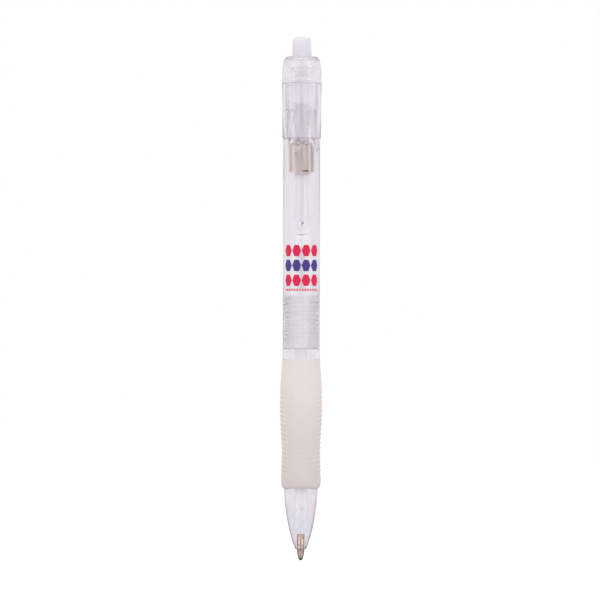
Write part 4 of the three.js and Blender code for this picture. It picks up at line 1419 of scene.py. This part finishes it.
@dataclass
class Cap:
    """The cap: a sleeve over the barrel's neck, and the end cap with the button's hole and the clip's slot."""

    sleeve_bottom: float = 113.85
    sleeve_top: float = 128.65
    sleeve_bore: float = 4.55
    sleeve_radii: tuple[float, float] = (5.17, 5.37)
    end_bottom: float = 128.75
    end_top: float = 135.9
    rim: float = 5.36
    wall_top: float = 131.35
    wall_break: tuple[float, float] = (5.27, 132.9)
    shoulder: float = 4.93
    shoulder_round: float = 1.4
    slant: float = 0.5
    roof: float = 1.0
    cavity: float = 3.8
    tenon: float = 4.45
    tenon_bottom: float = 121.65
    hole: float = 2.85
    slot_half: float = 2.22
    slot_span: tuple[float, float] = (129.48, 132.42)
    slot_reach: tuple[float, float] = (-7.0, -2.6)
    slot_round: float = 0.25

    def sleeve(self) -> Piece:
        """The tapered sleeve.

        Returns:
            The piece.
        """
        low, high = self.sleeve_radii
        outline = rounded([
            (self.sleeve_bore, self.sleeve_bottom, 0.08), (low, self.sleeve_bottom, 0.14),
            (high, self.sleeve_top, 0.1), (self.sleeve_bore, self.sleeve_top, 0.08),
        ], steps=8)
        return Piece(turned("cap_tube", outline, 128), Finishes.CLEAR_SHELL, "barrel", "cap_sleeve", "clear_shell")

    def end(self) -> Piece:
        """The end cap with its slot cut through the front wall.

        Returns:
            The piece.
        """
        roof = self.end_top - self.roof
        bend = math.asin((self.shoulder_round - self.slant) / self.shoulder_round)
        low = rounded([
            (self.hole, self.end_top), (self.hole, roof, 0.1), (self.cavity, roof, 0.4),
            (self.cavity, self.tenon_bottom, 0.12), (self.tenon, self.tenon_bottom, 0.15),
            (self.tenon, self.end_bottom, 0.06), (self.rim, self.end_bottom, 0.1), (self.rim, self.wall_top, 6.0),
            (*self.wall_break, 4.0), (self.shoulder, self.end_top - self.shoulder_round, 2.0),
            (self.shoulder, self.end_top),
        ], ring=False)
        outline = low[1:-1] + arc(self.shoulder - self.shoulder_round, self.end_top - self.shoulder_round,
                                  self.shoulder_round, math.pi / 2, bend, 10)[1:]
        outline += rounded([outline[-1], (self.shoulder - self.slant, self.end_top, 0.08),
                            (self.hole, self.end_top, 0.15), (self.hole, roof)], ring=False)[1:-1]
        shape, slot = turned("cap_end", outline, 128), self.slot_block()
        cut = shape.modifiers.new("clip_slot", "BOOLEAN")
        cut.operation, cut.object, cut.solver = "DIFFERENCE", slot, "EXACT"
        settled(shape)
        bpy.data.objects.remove(slot)
        return Piece(shape, Finishes.CLEAR_SHELL, "barrel", "end_cap", "clear_shell")

    def slot_block(self) -> Shape:
        """The block with rounded edges that cuts the slot.

        Returns:
            The block.
        """
        (low, high), wide, edge = self.slot_span, self.slot_half, self.slot_round
        front = rounded([(-wide, low, edge), (wide, low, edge), (wide, high, edge), (-wide, high, edge)])
        return lofted("slot_block", [[flat_place(x, y, height) for x, height in front] for y in self.slot_reach])

    def build(self) -> Iterator[Piece]:
        """Both mouldings of the cap."""
        yield self.sleeve()
        yield self.end()


@dataclass
class PocketClip:
    """The springy clear clip: tongue in the cap's slot, root, bend, waisted blade and the pad at its end."""

    bottom: float = 87.6
    top: float = 132.9
    inner: float = -7.2
    thickness: float = 1.4
    lean: float = 0.3
    blade_top: float = 127.9
    bend_low: tuple[float, float] = (129.0, 129.5)  # where the inner face begins to bend and where it has bent
    bend_top: float = 130.3
    bend_ends: tuple[float, float] = (-6.7, -6.0)  # depths where the inner and the outer face end their bend
    bend_rows: int = 12
    tongue: tuple[float, float] = (129.5, 132.4)
    tongue_half: float = 2.2
    tongue_end: float = -3.95
    cap_clearance: float = 5.67
    pad: float = -5.3
    pad_middle: float = 91.1
    pad_half_length: float = 1.2
    pad_half_width: float = 0.9
    end_length: float = 2.5
    end_rises: tuple[float, ...] = (0.012, 0.08, 0.22, 0.45, 0.75, 1.1, 1.5, 2.0, 2.5)
    half_widths: Marks = (
        (2.5, 2.5), (8.0, 2.5), (13.0, 2.3), (18.0, 2.14), (26.7, 2.14), (31.0, 2.5), (35.6, 3.1), (40.0, 3.45),
        (45.3, 3.2))
    edge: float = 0.34  # round along the blade's front edges
    back_edge: float = 0.2
    edge_steps: int = 5
    face_steps: tuple[int, int] = (8, 32)  # facets across the front and the back
    pad_row: float = 0.1  # height of a row by the pad
    pad_rows: int = 22
    pad_end: float = 92.5
    blade_rows: int = 40
    root_gap: float = 0.12
    tongue_rows: Marks = ((0.1, 1.0), (0.0, 0.96))  # distances from the tongue's end, and shares of its width
    crown: float = 0.12  # how far the blade's front stands out in its middle
    flex: tuple[float, float] = (129.0, 117.0)  # heights between which it bends when it is lifted
    flex_depth: float = -7.9

    def half_width(self, height: float) -> float:
        """Half the blade's width at a height.

        Args:
            height: Where it is asked.

        Returns:
            Half the width.
        """
        rise = height - self.bottom
        if rise < self.end_length:
            return self.half_widths[0][1] * self.end_share(rise, self.end_length)
        marks = through(self.half_widths, 12)
        for (low, first), (high, second) in zip(marks, marks[1:]):
            if rise <= high:
                return first + (second - first) * (rise - low) / (high - low)
        return marks[-1][1]

    @staticmethod
    def end_share(rise: float, length: float) -> float:
        """How much of its full size a round end of this length has at a rise."""
        return math.sqrt(max(0.0, 1 - ((length - rise) / length) ** 2))

    def faces(self, height: float) -> tuple[float, float]:
        """Depth of the blade's inner and outer face at a height.

        Args:
            height: Where they are asked.

        Returns:
            The inner and the outer depth.
        """
        inner = self.inner + self.lean * (self.bend_top - height) / (self.bend_top - self.bottom)
        outer = inner - self.thickness
        rise = height - self.bottom
        if rise < self.thickness:
            half = self.thickness / 2 * self.end_share(rise, self.thickness)
            middle = (inner + outer) / 2
            inner, outer = middle + half, middle - half
        return inner, outer

    def pad_at(self, x: float, height: float) -> float:
        """How far the pad stands out of the inner face at a place."""
        off = (x / self.pad_half_width) ** 2 + ((height - self.pad_middle) / self.pad_half_length) ** 2
        return (self.pad - self.faces(height)[0]) * (1 - off) ** 2.5 if off < 1 else 0.0

    def section(self, half: float, inner: Vector, outer: Vector, crown: float) -> list[Vector]:
        """A section across the clip with rounded edges.

        Args:
            half: Half its width.
            inner: Its inner face's depth and height.
            outer: Its outer face's depth and height.
            crown: How far its front stands out in the middle.

        Returns:
            The corners of the section, the same number for every section.
        """
        depth = (outer - inner).length
        edge, back = (min(size, 0.45 * depth, 0.45 * half) for size in (self.edge, self.back_edge))
        flat = rounded([(-half, 0.0, back), (half, 0.0, back), (half, depth, edge), (-half, depth, edge)],
                       steps=self.edge_steps)
        count = self.edge_steps + 1
        bottom_left, bottom_right, top_right, top_left = (flat[i : i + count] for i in range(0, 4 * count, count))
        ahead, behind = self.face_steps
        front = self.between(top_right[-1], top_left[0], ahead, crown if depth > crown else 0.0)
        rear = self.between(bottom_left[-1], bottom_right[0], behind, 0.0)
        rear = [(x, t - self.pad_at(x, inner.y)) for x, t in rear]
        outward = (outer - inner).normalized()
        return [flat_place(x, *(inner + outward * t))
                for x, t in bottom_left + rear + bottom_right + top_right + front + top_left]

    @staticmethod
    def between(first: tuple[float, float], last: tuple[float, float], steps: int, crown: float) -> Outline:
        """Points between two corners, standing out in the middle."""
        shares = [k / steps for k in range(1, steps)]
        return [(first[0] + (last[0] - first[0]) * t, first[1] + crown * 4 * t * (1 - t)) for t in shares]

    def rows(self) -> list[list[Vector]]:
        """The clip's sections from its free end to its tongue.

        Returns:
            Closed loops with the same number of corners.
        """
        end = self.bottom + self.end_length
        blade = [self.bottom + rise for rise in self.end_rises]
        blade += [end + self.pad_row * k for k in range(1, self.pad_rows + 1)]
        blade += [self.pad_end + (self.blade_top - self.pad_end) * k / self.blade_rows
                  for k in range(self.blade_rows + 1)]
        rows = []
        for height in blade:
            inner, outer = self.faces(height)
            crown = self.crown * min(1.0, (height - self.bottom) / self.end_length)
            rows.append(self.section(self.half_width(height), Vector((inner, height)),
                                     Vector((outer + crown, height)), crown))
        outer = self.inner - self.thickness + self.crown
        low, high = self.bend_low
        inner_bend = [Vector((self.inner, low)), Vector((self.inner, high)), Vector((self.bend_ends[0], high))]
        outer_bend = [Vector((outer, self.bend_top)), Vector((outer, self.top)), Vector((self.bend_ends[1], self.top))]
        for k in range(self.bend_rows + 1):
            share = k / self.bend_rows
            height = self.bend_top + (self.top - self.bend_top) * min(1.0, 1.4 * share)
            rows.append(self.section(self.half_width(height), swing(inner_bend, share), swing(outer_bend, share),
                                     self.crown * (1 - share)))
        low, high = self.tongue
        root = self.section(self.half_width(self.top), Vector((0, low)), Vector((0, self.top - 0.06)), 0.0)
        neck = self.section(self.tongue_half, Vector((0, low)), Vector((0, high)), 0.0)
        for corners, gap in ((root, self.root_gap), (root, 0.0), (neck, 0.0)):
            reach = (self.cap_clearance + gap) * MM
            rows.append([Vector((c.x, -math.sqrt(reach**2 - c.x**2), c.z)) for c in corners])
        for off, width in self.tongue_rows:
            rows.append([Vector((width * c.x, (self.tongue_end + off) * MM, c.z)) for c in neck])
        return rows

    def build(self) -> Iterator[Piece]:
        """The clip as one closed shell that bends just below its root.

        Returns:
            The pieces, one by one.
        """
        start, end = (flat_place(0, self.flex_depth, height) for height in self.flex)
        yield Piece(lofted("pocket_clip", self.rows()), Finishes.CLEAR_CLIP, "barrel", "clip", "clear_clip", "clip",
                    (start, end))


@dataclass
class Mechanism:
    """Button, plunger and rotor."""

    guides: Guides
    crown: GrowthTree = field(default_factory=crown_tree)
    teeth: int = 8
    tooth_depth: float = 0.9
    tooth_ramp: float = 0.72  # share of a tooth that is its long flank
    tooth_slack: float = 0.02  # how far the cut reaches past the ring's inner edge
    rotor_bottom: float = 104.08
    rotor_top: float = 112.38
    rotor_core: float = 2.6
    recess: float = 1.8
    recess_top: float = 105.28
    pilot: float = 1.2
    pilot_top: float = 115.98
    key_radius: float = 3.4
    key_half: float = math.radians(10)
    key_low: float = 104.58
    cam_edge: float = 110.4
    plunger_bottom: float = 112.73
    plunger_radius: float = 2.3
    bore: float = 1.5
    bore_top: float = 118.98
    spline_half: float = math.radians(14)
    spline_low: float = 114.48
    flange: float = 3.25
    flange_low: float = 123.1
    flange_high: float = 130.3
    stem: float = 1.6
    stem_top: float = 137.9
    button_low: float = 130.34
    button_top: float = 141.2
    button: float = 2.65
    button_tip: float = 2.4
    button_taper: float = 135.9  # where its taper begins
    button_round: float = 1.0
    button_bore: float = 1.7
    button_ceiling: float = 138.2

    def toothed(self, shape: Shape, height: float, depth: float, inner: float) -> Shape:
        """Cuts the crown's teeth into the flat ring at a height."""
        lengths = {"Level": level(height), "Depth": depth, "Inner Radius": inner - self.tooth_slack}
        return self.crown.grow(shape, lengths, {"Teeth": self.teeth, "Ramp": self.tooth_ramp})

    def rotor(self) -> Piece:
        """The ratchet piece: core, keys, crown and pilot.

        Returns:
            The piece.
        """
        outline = rounded([
            (0.0, self.recess_top), (self.recess, self.recess_top, 0.1), (self.recess, self.rotor_bottom, 0.08),
            (self.rotor_core, self.rotor_bottom, 0.12), (self.rotor_core, self.rotor_top),
            (self.pilot, self.rotor_top), (self.pilot, self.pilot_top, 0.25), (0.0, self.pilot_top),
        ], ring=False)
        shape = turned("rotor_body", outline, ring=False)
        shape = self.toothed(shape, self.rotor_top, -self.tooth_depth, self.pilot)
        slope = self.guides.slope
        shape = self.guides.join(shape, ((self.recess + self.rotor_core) / 2, self.key_radius), self.key_half,
                                 (self.key_low, self.cam_edge + slope * self.key_half), (0.0, slope))
        return Piece(shape, Finishes.SMOKE, "rotor", "cam_rotor", "smoke_plastic")

    def plunger(self) -> Piece:
        """The splined follower that carries the button.

        Returns:
            The piece.
        """
        outline = rounded([
            (0.0, self.bore_top), (self.bore, self.bore_top, 0.2), (self.bore, self.plunger_bottom),
            (self.plunger_radius, self.plunger_bottom), (self.plunger_radius, self.flange_low, 0.15),
            (self.flange, self.flange_low, 0.15), (self.flange, self.flange_high, 0.2),
            (self.stem, self.flange_high, 0.15), (self.stem, self.stem_top, 0.25), (0.0, self.stem_top),
        ], ring=False)
        shape = turned("plunger_body", outline, ring=False)
        shape = self.toothed(shape, self.plunger_bottom, self.tooth_depth, self.bore)
        shape = self.guides.join(shape, ((self.bore + self.plunger_radius) / 2, self.key_radius), self.spline_half,
                                 (self.spline_low, self.flange_low + 0.3), first=math.pi / 4)
        return Piece(shape, Finishes.FROSTED_INNER, "button", "plunger", "frosted_white")

    def push_button(self) -> Piece:
        """The button, a thimble with a well-rounded edge.

        Returns:
            The piece.
        """
        outline = rounded([
            (0.0, self.button_ceiling), (self.button_bore, self.button_ceiling, 0.3),
            (self.button_bore, self.button_low, 0.08), (self.button, self.button_low, 0.12),
            (self.button, self.button_taper, 4.0), (self.button_tip, self.button_top, self.button_round),
            (0.0, self.button_top),
        ], ring=False, steps=8)
        return Piece(turned("button_shell", outline, ring=False), Finishes.FROSTED, "button", "push_button",
                     "frosted_white")

    def build(self) -> Iterator[Piece]:
        """The three pieces of the mechanism.

        Returns:
            The pieces, one by one.
        """
        yield self.rotor()
        yield self.plunger()
        yield self.push_button()


@dataclass
class Refill:
    """Tube with its stop ring, ink, follower, socket, metal point and ball."""

    tube: float = 1.5
    wall: float = 0.45
    tube_bottom: float = 14.08
    tube_top: float = 104.98
    stop: float = 2.3
    stop_low: float = 38.07
    stop_high: float = 39.07
    ink: tuple[float, float] = (18.33, 88.03)
    follower: tuple[float, float] = (88.33, 92.03)
    filling: float = 0.95
    dip: float = 0.16  # depth of the hollow at each end of a liquid
    socket_bottom: float = 7.18
    socket: float = 1.1
    socket_collar: float = 8.63
    socket_cone: tuple[float, float] = (1.35, 11.03)
    socket_seat: float = 14.03
    socket_floor: float = 10.83
    plug_top: float = 18.03
    duct: float = 0.5
    ball: float = 0.5
    cup: float = 0.53
    lip: float = 0.3  # height of the rolled lip's edge
    point: float = 1.03
    cone: Marks = (  # radii, heights and rounds of the corners of the point's cone
        (0.54, 0.3, 0.02), (0.6, 0.5, 0.12), (0.86, 1.5, 0.3), (1.03, 2.62, 0.5))
    point_top: float = 7.13
    shank: float = 0.75
    shank_top: float = 10.53
    feed: float = 0.2
    grooves: tuple[float, ...] = (3.1, 4.2)
    groove_depth: float = 0.07

    def refill_tube(self) -> Piece:
        """The tube, open at both ends.

        Returns:
            The piece.
        """
        bore = self.tube - self.wall
        outline = rounded([
            (bore, self.tube_bottom, 0.05), (self.tube, self.tube_bottom, 0.1), (self.tube, self.stop_low, 0.08),
            (self.stop, self.stop_low, 0.12), (self.stop, self.stop_high, 0.12), (self.tube, self.stop_high, 0.08),
            (self.tube, self.tube_top, 0.1), (bore, self.tube_top, 0.05),
        ])
        return Piece(turned("refill_body", outline, 64), Finishes.REFILL, "refill", "refill_tube", "refill_white")

    def filled(self, name: str, span: tuple[float, float], finish: Finishes, node: str, slot: str) -> Piece:
        """A filling of the tube with a hollow at each end, as a liquid has.

        Args:
            name: The new piece's name.
            span: Heights of its two ends.
            finish: Its liquid.
            node: The node that it replaces.
            slot: Its slot.

        Returns:
            The piece.
        """
        hollow = [(self.filling * t, self.dip * (1 - t**2)) for t in (0, 0.25, 0.5, 0.7, 0.85, 0.95, 1)]
        low, high = span
        outline = [(r, low + d) for r, d in hollow] + [(r, high - d) for r, d in reversed(hollow)]
        return Piece(turned(name, outline, 48, ring=False), finish, "refill", node, slot)

    def point_socket(self) -> Piece:
        """The plug that joins the point to the tube.

        Returns:
            The piece.
        """
        bore = self.shank + 0.1
        outline = rounded([
            (bore, self.socket_bottom, 0.05), (self.socket, self.socket_bottom, 0.12),
            (self.socket, self.socket_collar, 0.4), (*self.socket_cone, 0.8), (self.tube, self.socket_seat, 0.05),
            (self.filling, self.socket_seat, 0.05), (self.filling, self.plug_top, 0.1),
            (self.duct, self.plug_top, 0.05), (self.duct, self.socket_floor, 0.05), (bore, self.socket_floor, 0.05),
        ])
        return Piece(turned("point_holder", outline, 64), Finishes.SOCKET, "refill", "point_socket", "refill_white")

    def writing_point(self) -> Piece:
        """The metal point with its grooves and the rolled lip round the ball.

        Returns:
            The piece.
        """
        side, floor = list(self.cone), self.point - self.groove_depth
        for height in self.grooves:
            side += [(radius, height + off, 0.02) for radius, off in (
                (self.point, -0.11), (floor, -0.06), (floor, 0.06), (self.point, 0.11))]
        side += [(self.point, self.point_top, 0.08), (self.shank, self.point_top, 0.05),
                 (self.shank, self.shank_top, 0.1), (self.feed, self.shank_top)]
        cup = arc(0, self.ball, self.cup, math.asin(self.feed / self.cup),
                  math.pi - math.acos((self.ball - self.lip) / self.cup), 12)
        outline = rounded([cup[-1], *side], ring=False)[1:] + cup
        return Piece(turned("point_body", outline, 64), Finishes.POINT, "refill", "writing_point", "point_metal")

    def point_ball(self) -> Piece:
        """The writing ball.

        Returns:
            The piece.
        """
        outline = arc(0, self.ball, self.ball, 0, math.pi, 24)
        outline[0], outline[-1] = (0.0, 2 * self.ball), (0.0, 0.0)
        return Piece(turned("point_tip_ball", outline, 48, ring=False), Finishes.BALL, "ball", "point_ball",
                     "ball_carbide")

    def build(self) -> Iterator[Piece]:
        """Every piece of the refill.

        Returns:
            The pieces, one by one.
        """
        yield self.refill_tube()
        yield self.filled("ink_fill", self.ink, Finishes.INK, "ink_column", "ink")
        yield self.filled("follower_plug", self.follower, Finishes.GREASE, "ink_follower", "grease")
        yield self.point_socket()
        yield self.writing_point()
        yield self.point_ball()


@dataclass
class ReturnSpring:
    """The spring round the refill, held between the front barrel and the refill's stop ring."""

    seat: float = 23.02
    length: float = 15.0
    radius: float = 2.1
    wire: float = 0.2
    turns: int = 12
    end_pitch: float = 0.9
    gap: float = 0.05
    steps_a_turn: int = 32

    def build(self) -> Iterator[Piece]:
        """The spring as one wire that stretches between its two seats.

        Returns:
            The pieces, one by one.
        """
        lift = self.wire + self.gap
        shape = spring_tree().grow(skin("spring_wire", [place(0, 0, self.seat)], []), {
            "Radius": self.radius, "Wire": self.wire, "Bottom": level(self.seat + lift),
            "Rise": self.length - 2 * lift, "End Pitch": self.end_pitch,
        }, {"Turns": float(self.turns), "End Turns": 1.0, "Steps": self.turns * self.steps_a_turn + 1, "Sides": 12})
        bend = (place(0, 0, self.seat), place(0, 0, self.seat + self.length))
        yield Piece(shape, Finishes.SPRING, "barrel", "return_spring", "spring_steel", "refill", bend)


@dataclass
class BarrelPrint:
    """A plain pattern pad-printed on the barrel: rows of hexagons in two colours and a row of beads."""

    barrel: float = 5.0
    film: float = 0.03
    tree: GrowthTree = field(default_factory=print_tree)

    def row(self, name: str, finish: Finishes, middle: float, columns: int = 4, width: float = 2.5,
            tall: float = 3.55, pitch: float = 2.62) -> Piece:
        """One row of hexagons.

        Args:
            name: The new piece's name.
            finish: Its ink.
            middle: The height of its middle.
            columns: How many hexagons it has.
            width: A hexagon's width.
            tall: A hexagon's height.
            pitch: Distance between hexagons.

        Returns:
            The printed film.
        """
        sizes = {"Barrel Radius": self.barrel + 0.3 * self.film, "Pitch": pitch, "Width": width, "Tallness": tall,
                 "Film": self.film, "Middle": level(middle)}
        shape = self.tree.grow(skin(name, [place(0, 0, middle)], []), sizes, {"Columns": columns})
        return Piece(shape, finish, "barrel")

    def build(self) -> Iterator[Piece]:
        """Three rows, red above and below, violet between, and the beads under them.

        Returns:
            The pieces, one by one.
        """
        yield self.row("print_upper", Finishes.PRINT_RED, 83.55)
        yield self.row("print_middle", Finishes.PRINT_VIOLET, 79.55)
        yield self.row("print_lower", Finishes.PRINT_RED, 75.55)
        yield self.row("print_beads", Finishes.PRINT_RED, 73.0, columns=14, width=0.55, tall=0.7, pitch=0.74)


# Studio


@dataclass
class Studio:
    """White surround, soft lamps, pale floor and the camera."""

    distance: float = 1.5
    frame_width: float = 0.162  # width of the photograph at the pen
    middle: float = 0.03352  # height of the photograph's middle
    sideways: float = -0.00034
    lean: float = math.radians(-0.14)
    surround: float = 0.83  # light of the surround on matt surfaces
    behind: str = "#e9e5ea"  # what shows through clear walls from behind the pen
    front_light: float = 1.6  # what reaches through them from the camera's side
    gap_light: float = 0.18  # the dark gap between the screens, where the camera stands
    gap: tuple[float, float] = (0.1, 0.24)  # its half width and where its edge ends
    metal_gap: tuple[float, float] = (0.3, 0.7)  # the same as a mirror shows it
    wings: float = 0.85  # light of the room beside and behind the pen on what mirrors it
    room_turn: tuple[float, float] = (-0.3, 0.45)  # between which directions that light gets full, one is the front
    clear_turn: tuple[float, float] = (-0.3, 0.6)  # the same for what reaches through clear walls
    screen_turn: tuple[float, float] = (0.2, 0.5)  # the screens with their gap begin between these
    floor_reach: float = 1.6
    fibre: float = 4.0  # width of a cloud in the paper
    paper_light: tuple[float, float] = (0.7, 0.72)  # what the paper leaves of white light
    paper_lift: float = 0.42  # light that makes it white to the camera
    paper_mirrored: Colour = (0.75, 0.75, 0.75, 1.0)  # the paper as a mirror shows it
    lamps: tuple[tuple[str, tuple[float, float, float], float, float], ...] = (  # name, place, size and power
        ("key_lamp", (-0.55, -0.6, 0.55), 0.5, 1.6), ("fill_lamp", (0.7, -0.5, 0.3), 0.6, 1.2))

    def camera(self) -> None:
        """The camera, level with the pen's middle."""
        data = bpy.data.cameras.new("camera")
        data.sensor_width = 36.0
        data.lens = data.sensor_width * self.distance / self.frame_width
        data.clip_start, data.clip_end = 0.01, 20.0
        camera = linked("camera", data)
        turn = Matrix.Rotation(self.lean, 4, "Y") @ Matrix.Rotation(math.pi / 2, 4, "X")
        camera.matrix_world = Matrix.Translation((self.sideways, -self.distance, self.middle)) @ turn
        bpy.context.scene.camera = camera

    def world(self) -> None:
        """White for the camera, with a dark gap between the front screens for what reflects or lies in plastic."""
        world = bpy.data.worlds.new("white_surround")
        bpy.context.scene.world = world
        world.use_nodes = True
        net = Net(world.node_tree, "ShaderNodeTexCoord", "Generated")
        ray = net.add("ShaderNodeLightPath").outputs
        aside, depth, _ = net.coordinates()
        toward = depth * -1.0
        open_side = toward.ramp(*self.screen_turn, 1.0, 0.0)
        screens, mirrored = (abs(aside).ramp(*gap, self.gap_light, 1.0).most(open_side)
                             for gap in (self.gap, self.metal_gap))
        inside = net.blend(toward.ramp(*self.clear_turn), linear(self.behind), screens * self.front_light)
        room = mirrored * toward.ramp(*self.room_turn, self.wings, 1.0)
        matt = Term(ray["Is Camera Ray"]) * (1.0 - self.surround) + self.surround
        plain = net.blend(ray["Is Glossy Ray"], matt, room)
        back = next(n for n in net.tree.nodes if n.type == "BACKGROUND")
        give(back.inputs["Color"], net.blend(ray["Is Transmission Ray"], plain, inside))

    def lamp(self, name: str, spot: tuple[float, float, float], size: float, power: float) -> None:
        """A large soft lamp that faces the pen's middle and doesn't show to the camera.

        Args:
            name: Its name.
            spot: Its place in metres.
            size: Its width in metres.
            power: Its power in watts.
        """
        data = bpy.data.lights.new(name, "AREA")
        data.shape, data.size, data.energy = "DISK", size, power
        lamp = linked(name, data)
        lamp.location = spot
        lamp.rotation_euler = (Vector((0, 0, self.middle)) - Vector(spot)).to_track_quat("-Z", "Y").to_euler()
        lamp.visible_camera = lamp.visible_glossy = lamp.visible_transmission = False

    def paper(self) -> bpy.types.Material:
        """Matt white paper: white to the camera and through plastic, clear from below.

        Returns:
            The material.
        """
        material = bpy.data.materials.new("white_paper_matt")
        material.use_nodes = True
        material.node_tree.nodes.clear()
        net = Net(material.node_tree, "ShaderNodeTexCoord", "Object")
        ray = net.add("ShaderNodeLightPath").outputs
        tone = net.noise(self.fibre).ramp(*NOISE, *self.paper_light)
        matt = net.add("ShaderNodeBsdfDiffuse", links={"Color": tone}).outputs[0]
        lift = Term(ray["Is Camera Ray"]) * self.paper_lift
        glow = net.add("ShaderNodeEmission", links={"Strength": lift}).outputs[0]
        paper = net.add("ShaderNodeAddShader", links={0: matt, 1: glow}).outputs[0]
        shown = net.blend(ray["Is Transmission Ray"], self.paper_mirrored, linear(self.behind))
        plain = net.add("ShaderNodeEmission", links={"Color": shown}).outputs[0]
        mirrored = Term(ray["Is Glossy Ray"]).most(ray["Is Transmission Ray"])
        top = net.add("ShaderNodeMixShader", links={0: mirrored, 1: paper, 2: plain}).outputs[0]
        under = net.add("ShaderNodeBsdfTransparent").outputs[0]
        side = net.add("ShaderNodeNewGeometry").outputs["Backfacing"]
        mixed = net.add("ShaderNodeMixShader", links={0: side, 1: top, 2: under}).outputs[0]
        net.add("ShaderNodeOutputMaterial", links={"Surface": mixed})
        return material

    def floor(self) -> None:
        """A pale floor under the ball."""
        reach = self.floor_reach
        corners = [Vector((x * reach, y * reach, level(0.0) * MM)) for x, y in ((-1, -1), (1, -1), (1, 1), (-1, 1))]
        data = bpy.data.meshes.new("floor")
        data.from_pydata(corners, [], [(0, 1, 2, 3)])
        data.materials.append(self.paper())
        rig.stage(linked("floor", data))

    def build(self) -> None:
        """Sets up the whole studio."""
        self.camera()
        self.world()
        for lamp in self.lamps:
            self.lamp(*lamp)
        self.floor()
        scene = bpy.context.scene
        scene.view_settings.view_transform = "Standard"
        scene.cycles.max_bounces = 32
        scene.cycles.diffuse_bounces = 12
        scene.cycles.transmission_bounces = 32
        scene.cycles.glossy_bounces = 16
        scene.cycles.transparent_max_bounces = 16
        scene.cycles.blur_glossy = 0.0  # light reaches the pieces inside through clear walls as clear


def main() -> None:
    """Builds the pen's pieces in order, hands them to the frame and sets up the studio."""
    logging.basicConfig(level=logging.INFO, format="%(message)s")
    threads, guides = Threads(), Guides()
    for assembly in (FrontBarrel(threads), Grip(), UpperBarrel(threads, guides), Cap(), PocketClip(),
                     Mechanism(guides), Refill(), ReturnSpring(), BarrelPrint()):
        log.info("%s", type(assembly).__name__)
        for piece in assembly.build():
            piece.hand_over()
    Studio().build()
    boxes = {"cad": [list(corner) for corner in CAD_BOX], "visual": [list(corner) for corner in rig.bounds()]}
    with open(SIZE_FILE, "w") as out:
        json.dump(boxes, out)


if __name__ == "__main__":
    main()
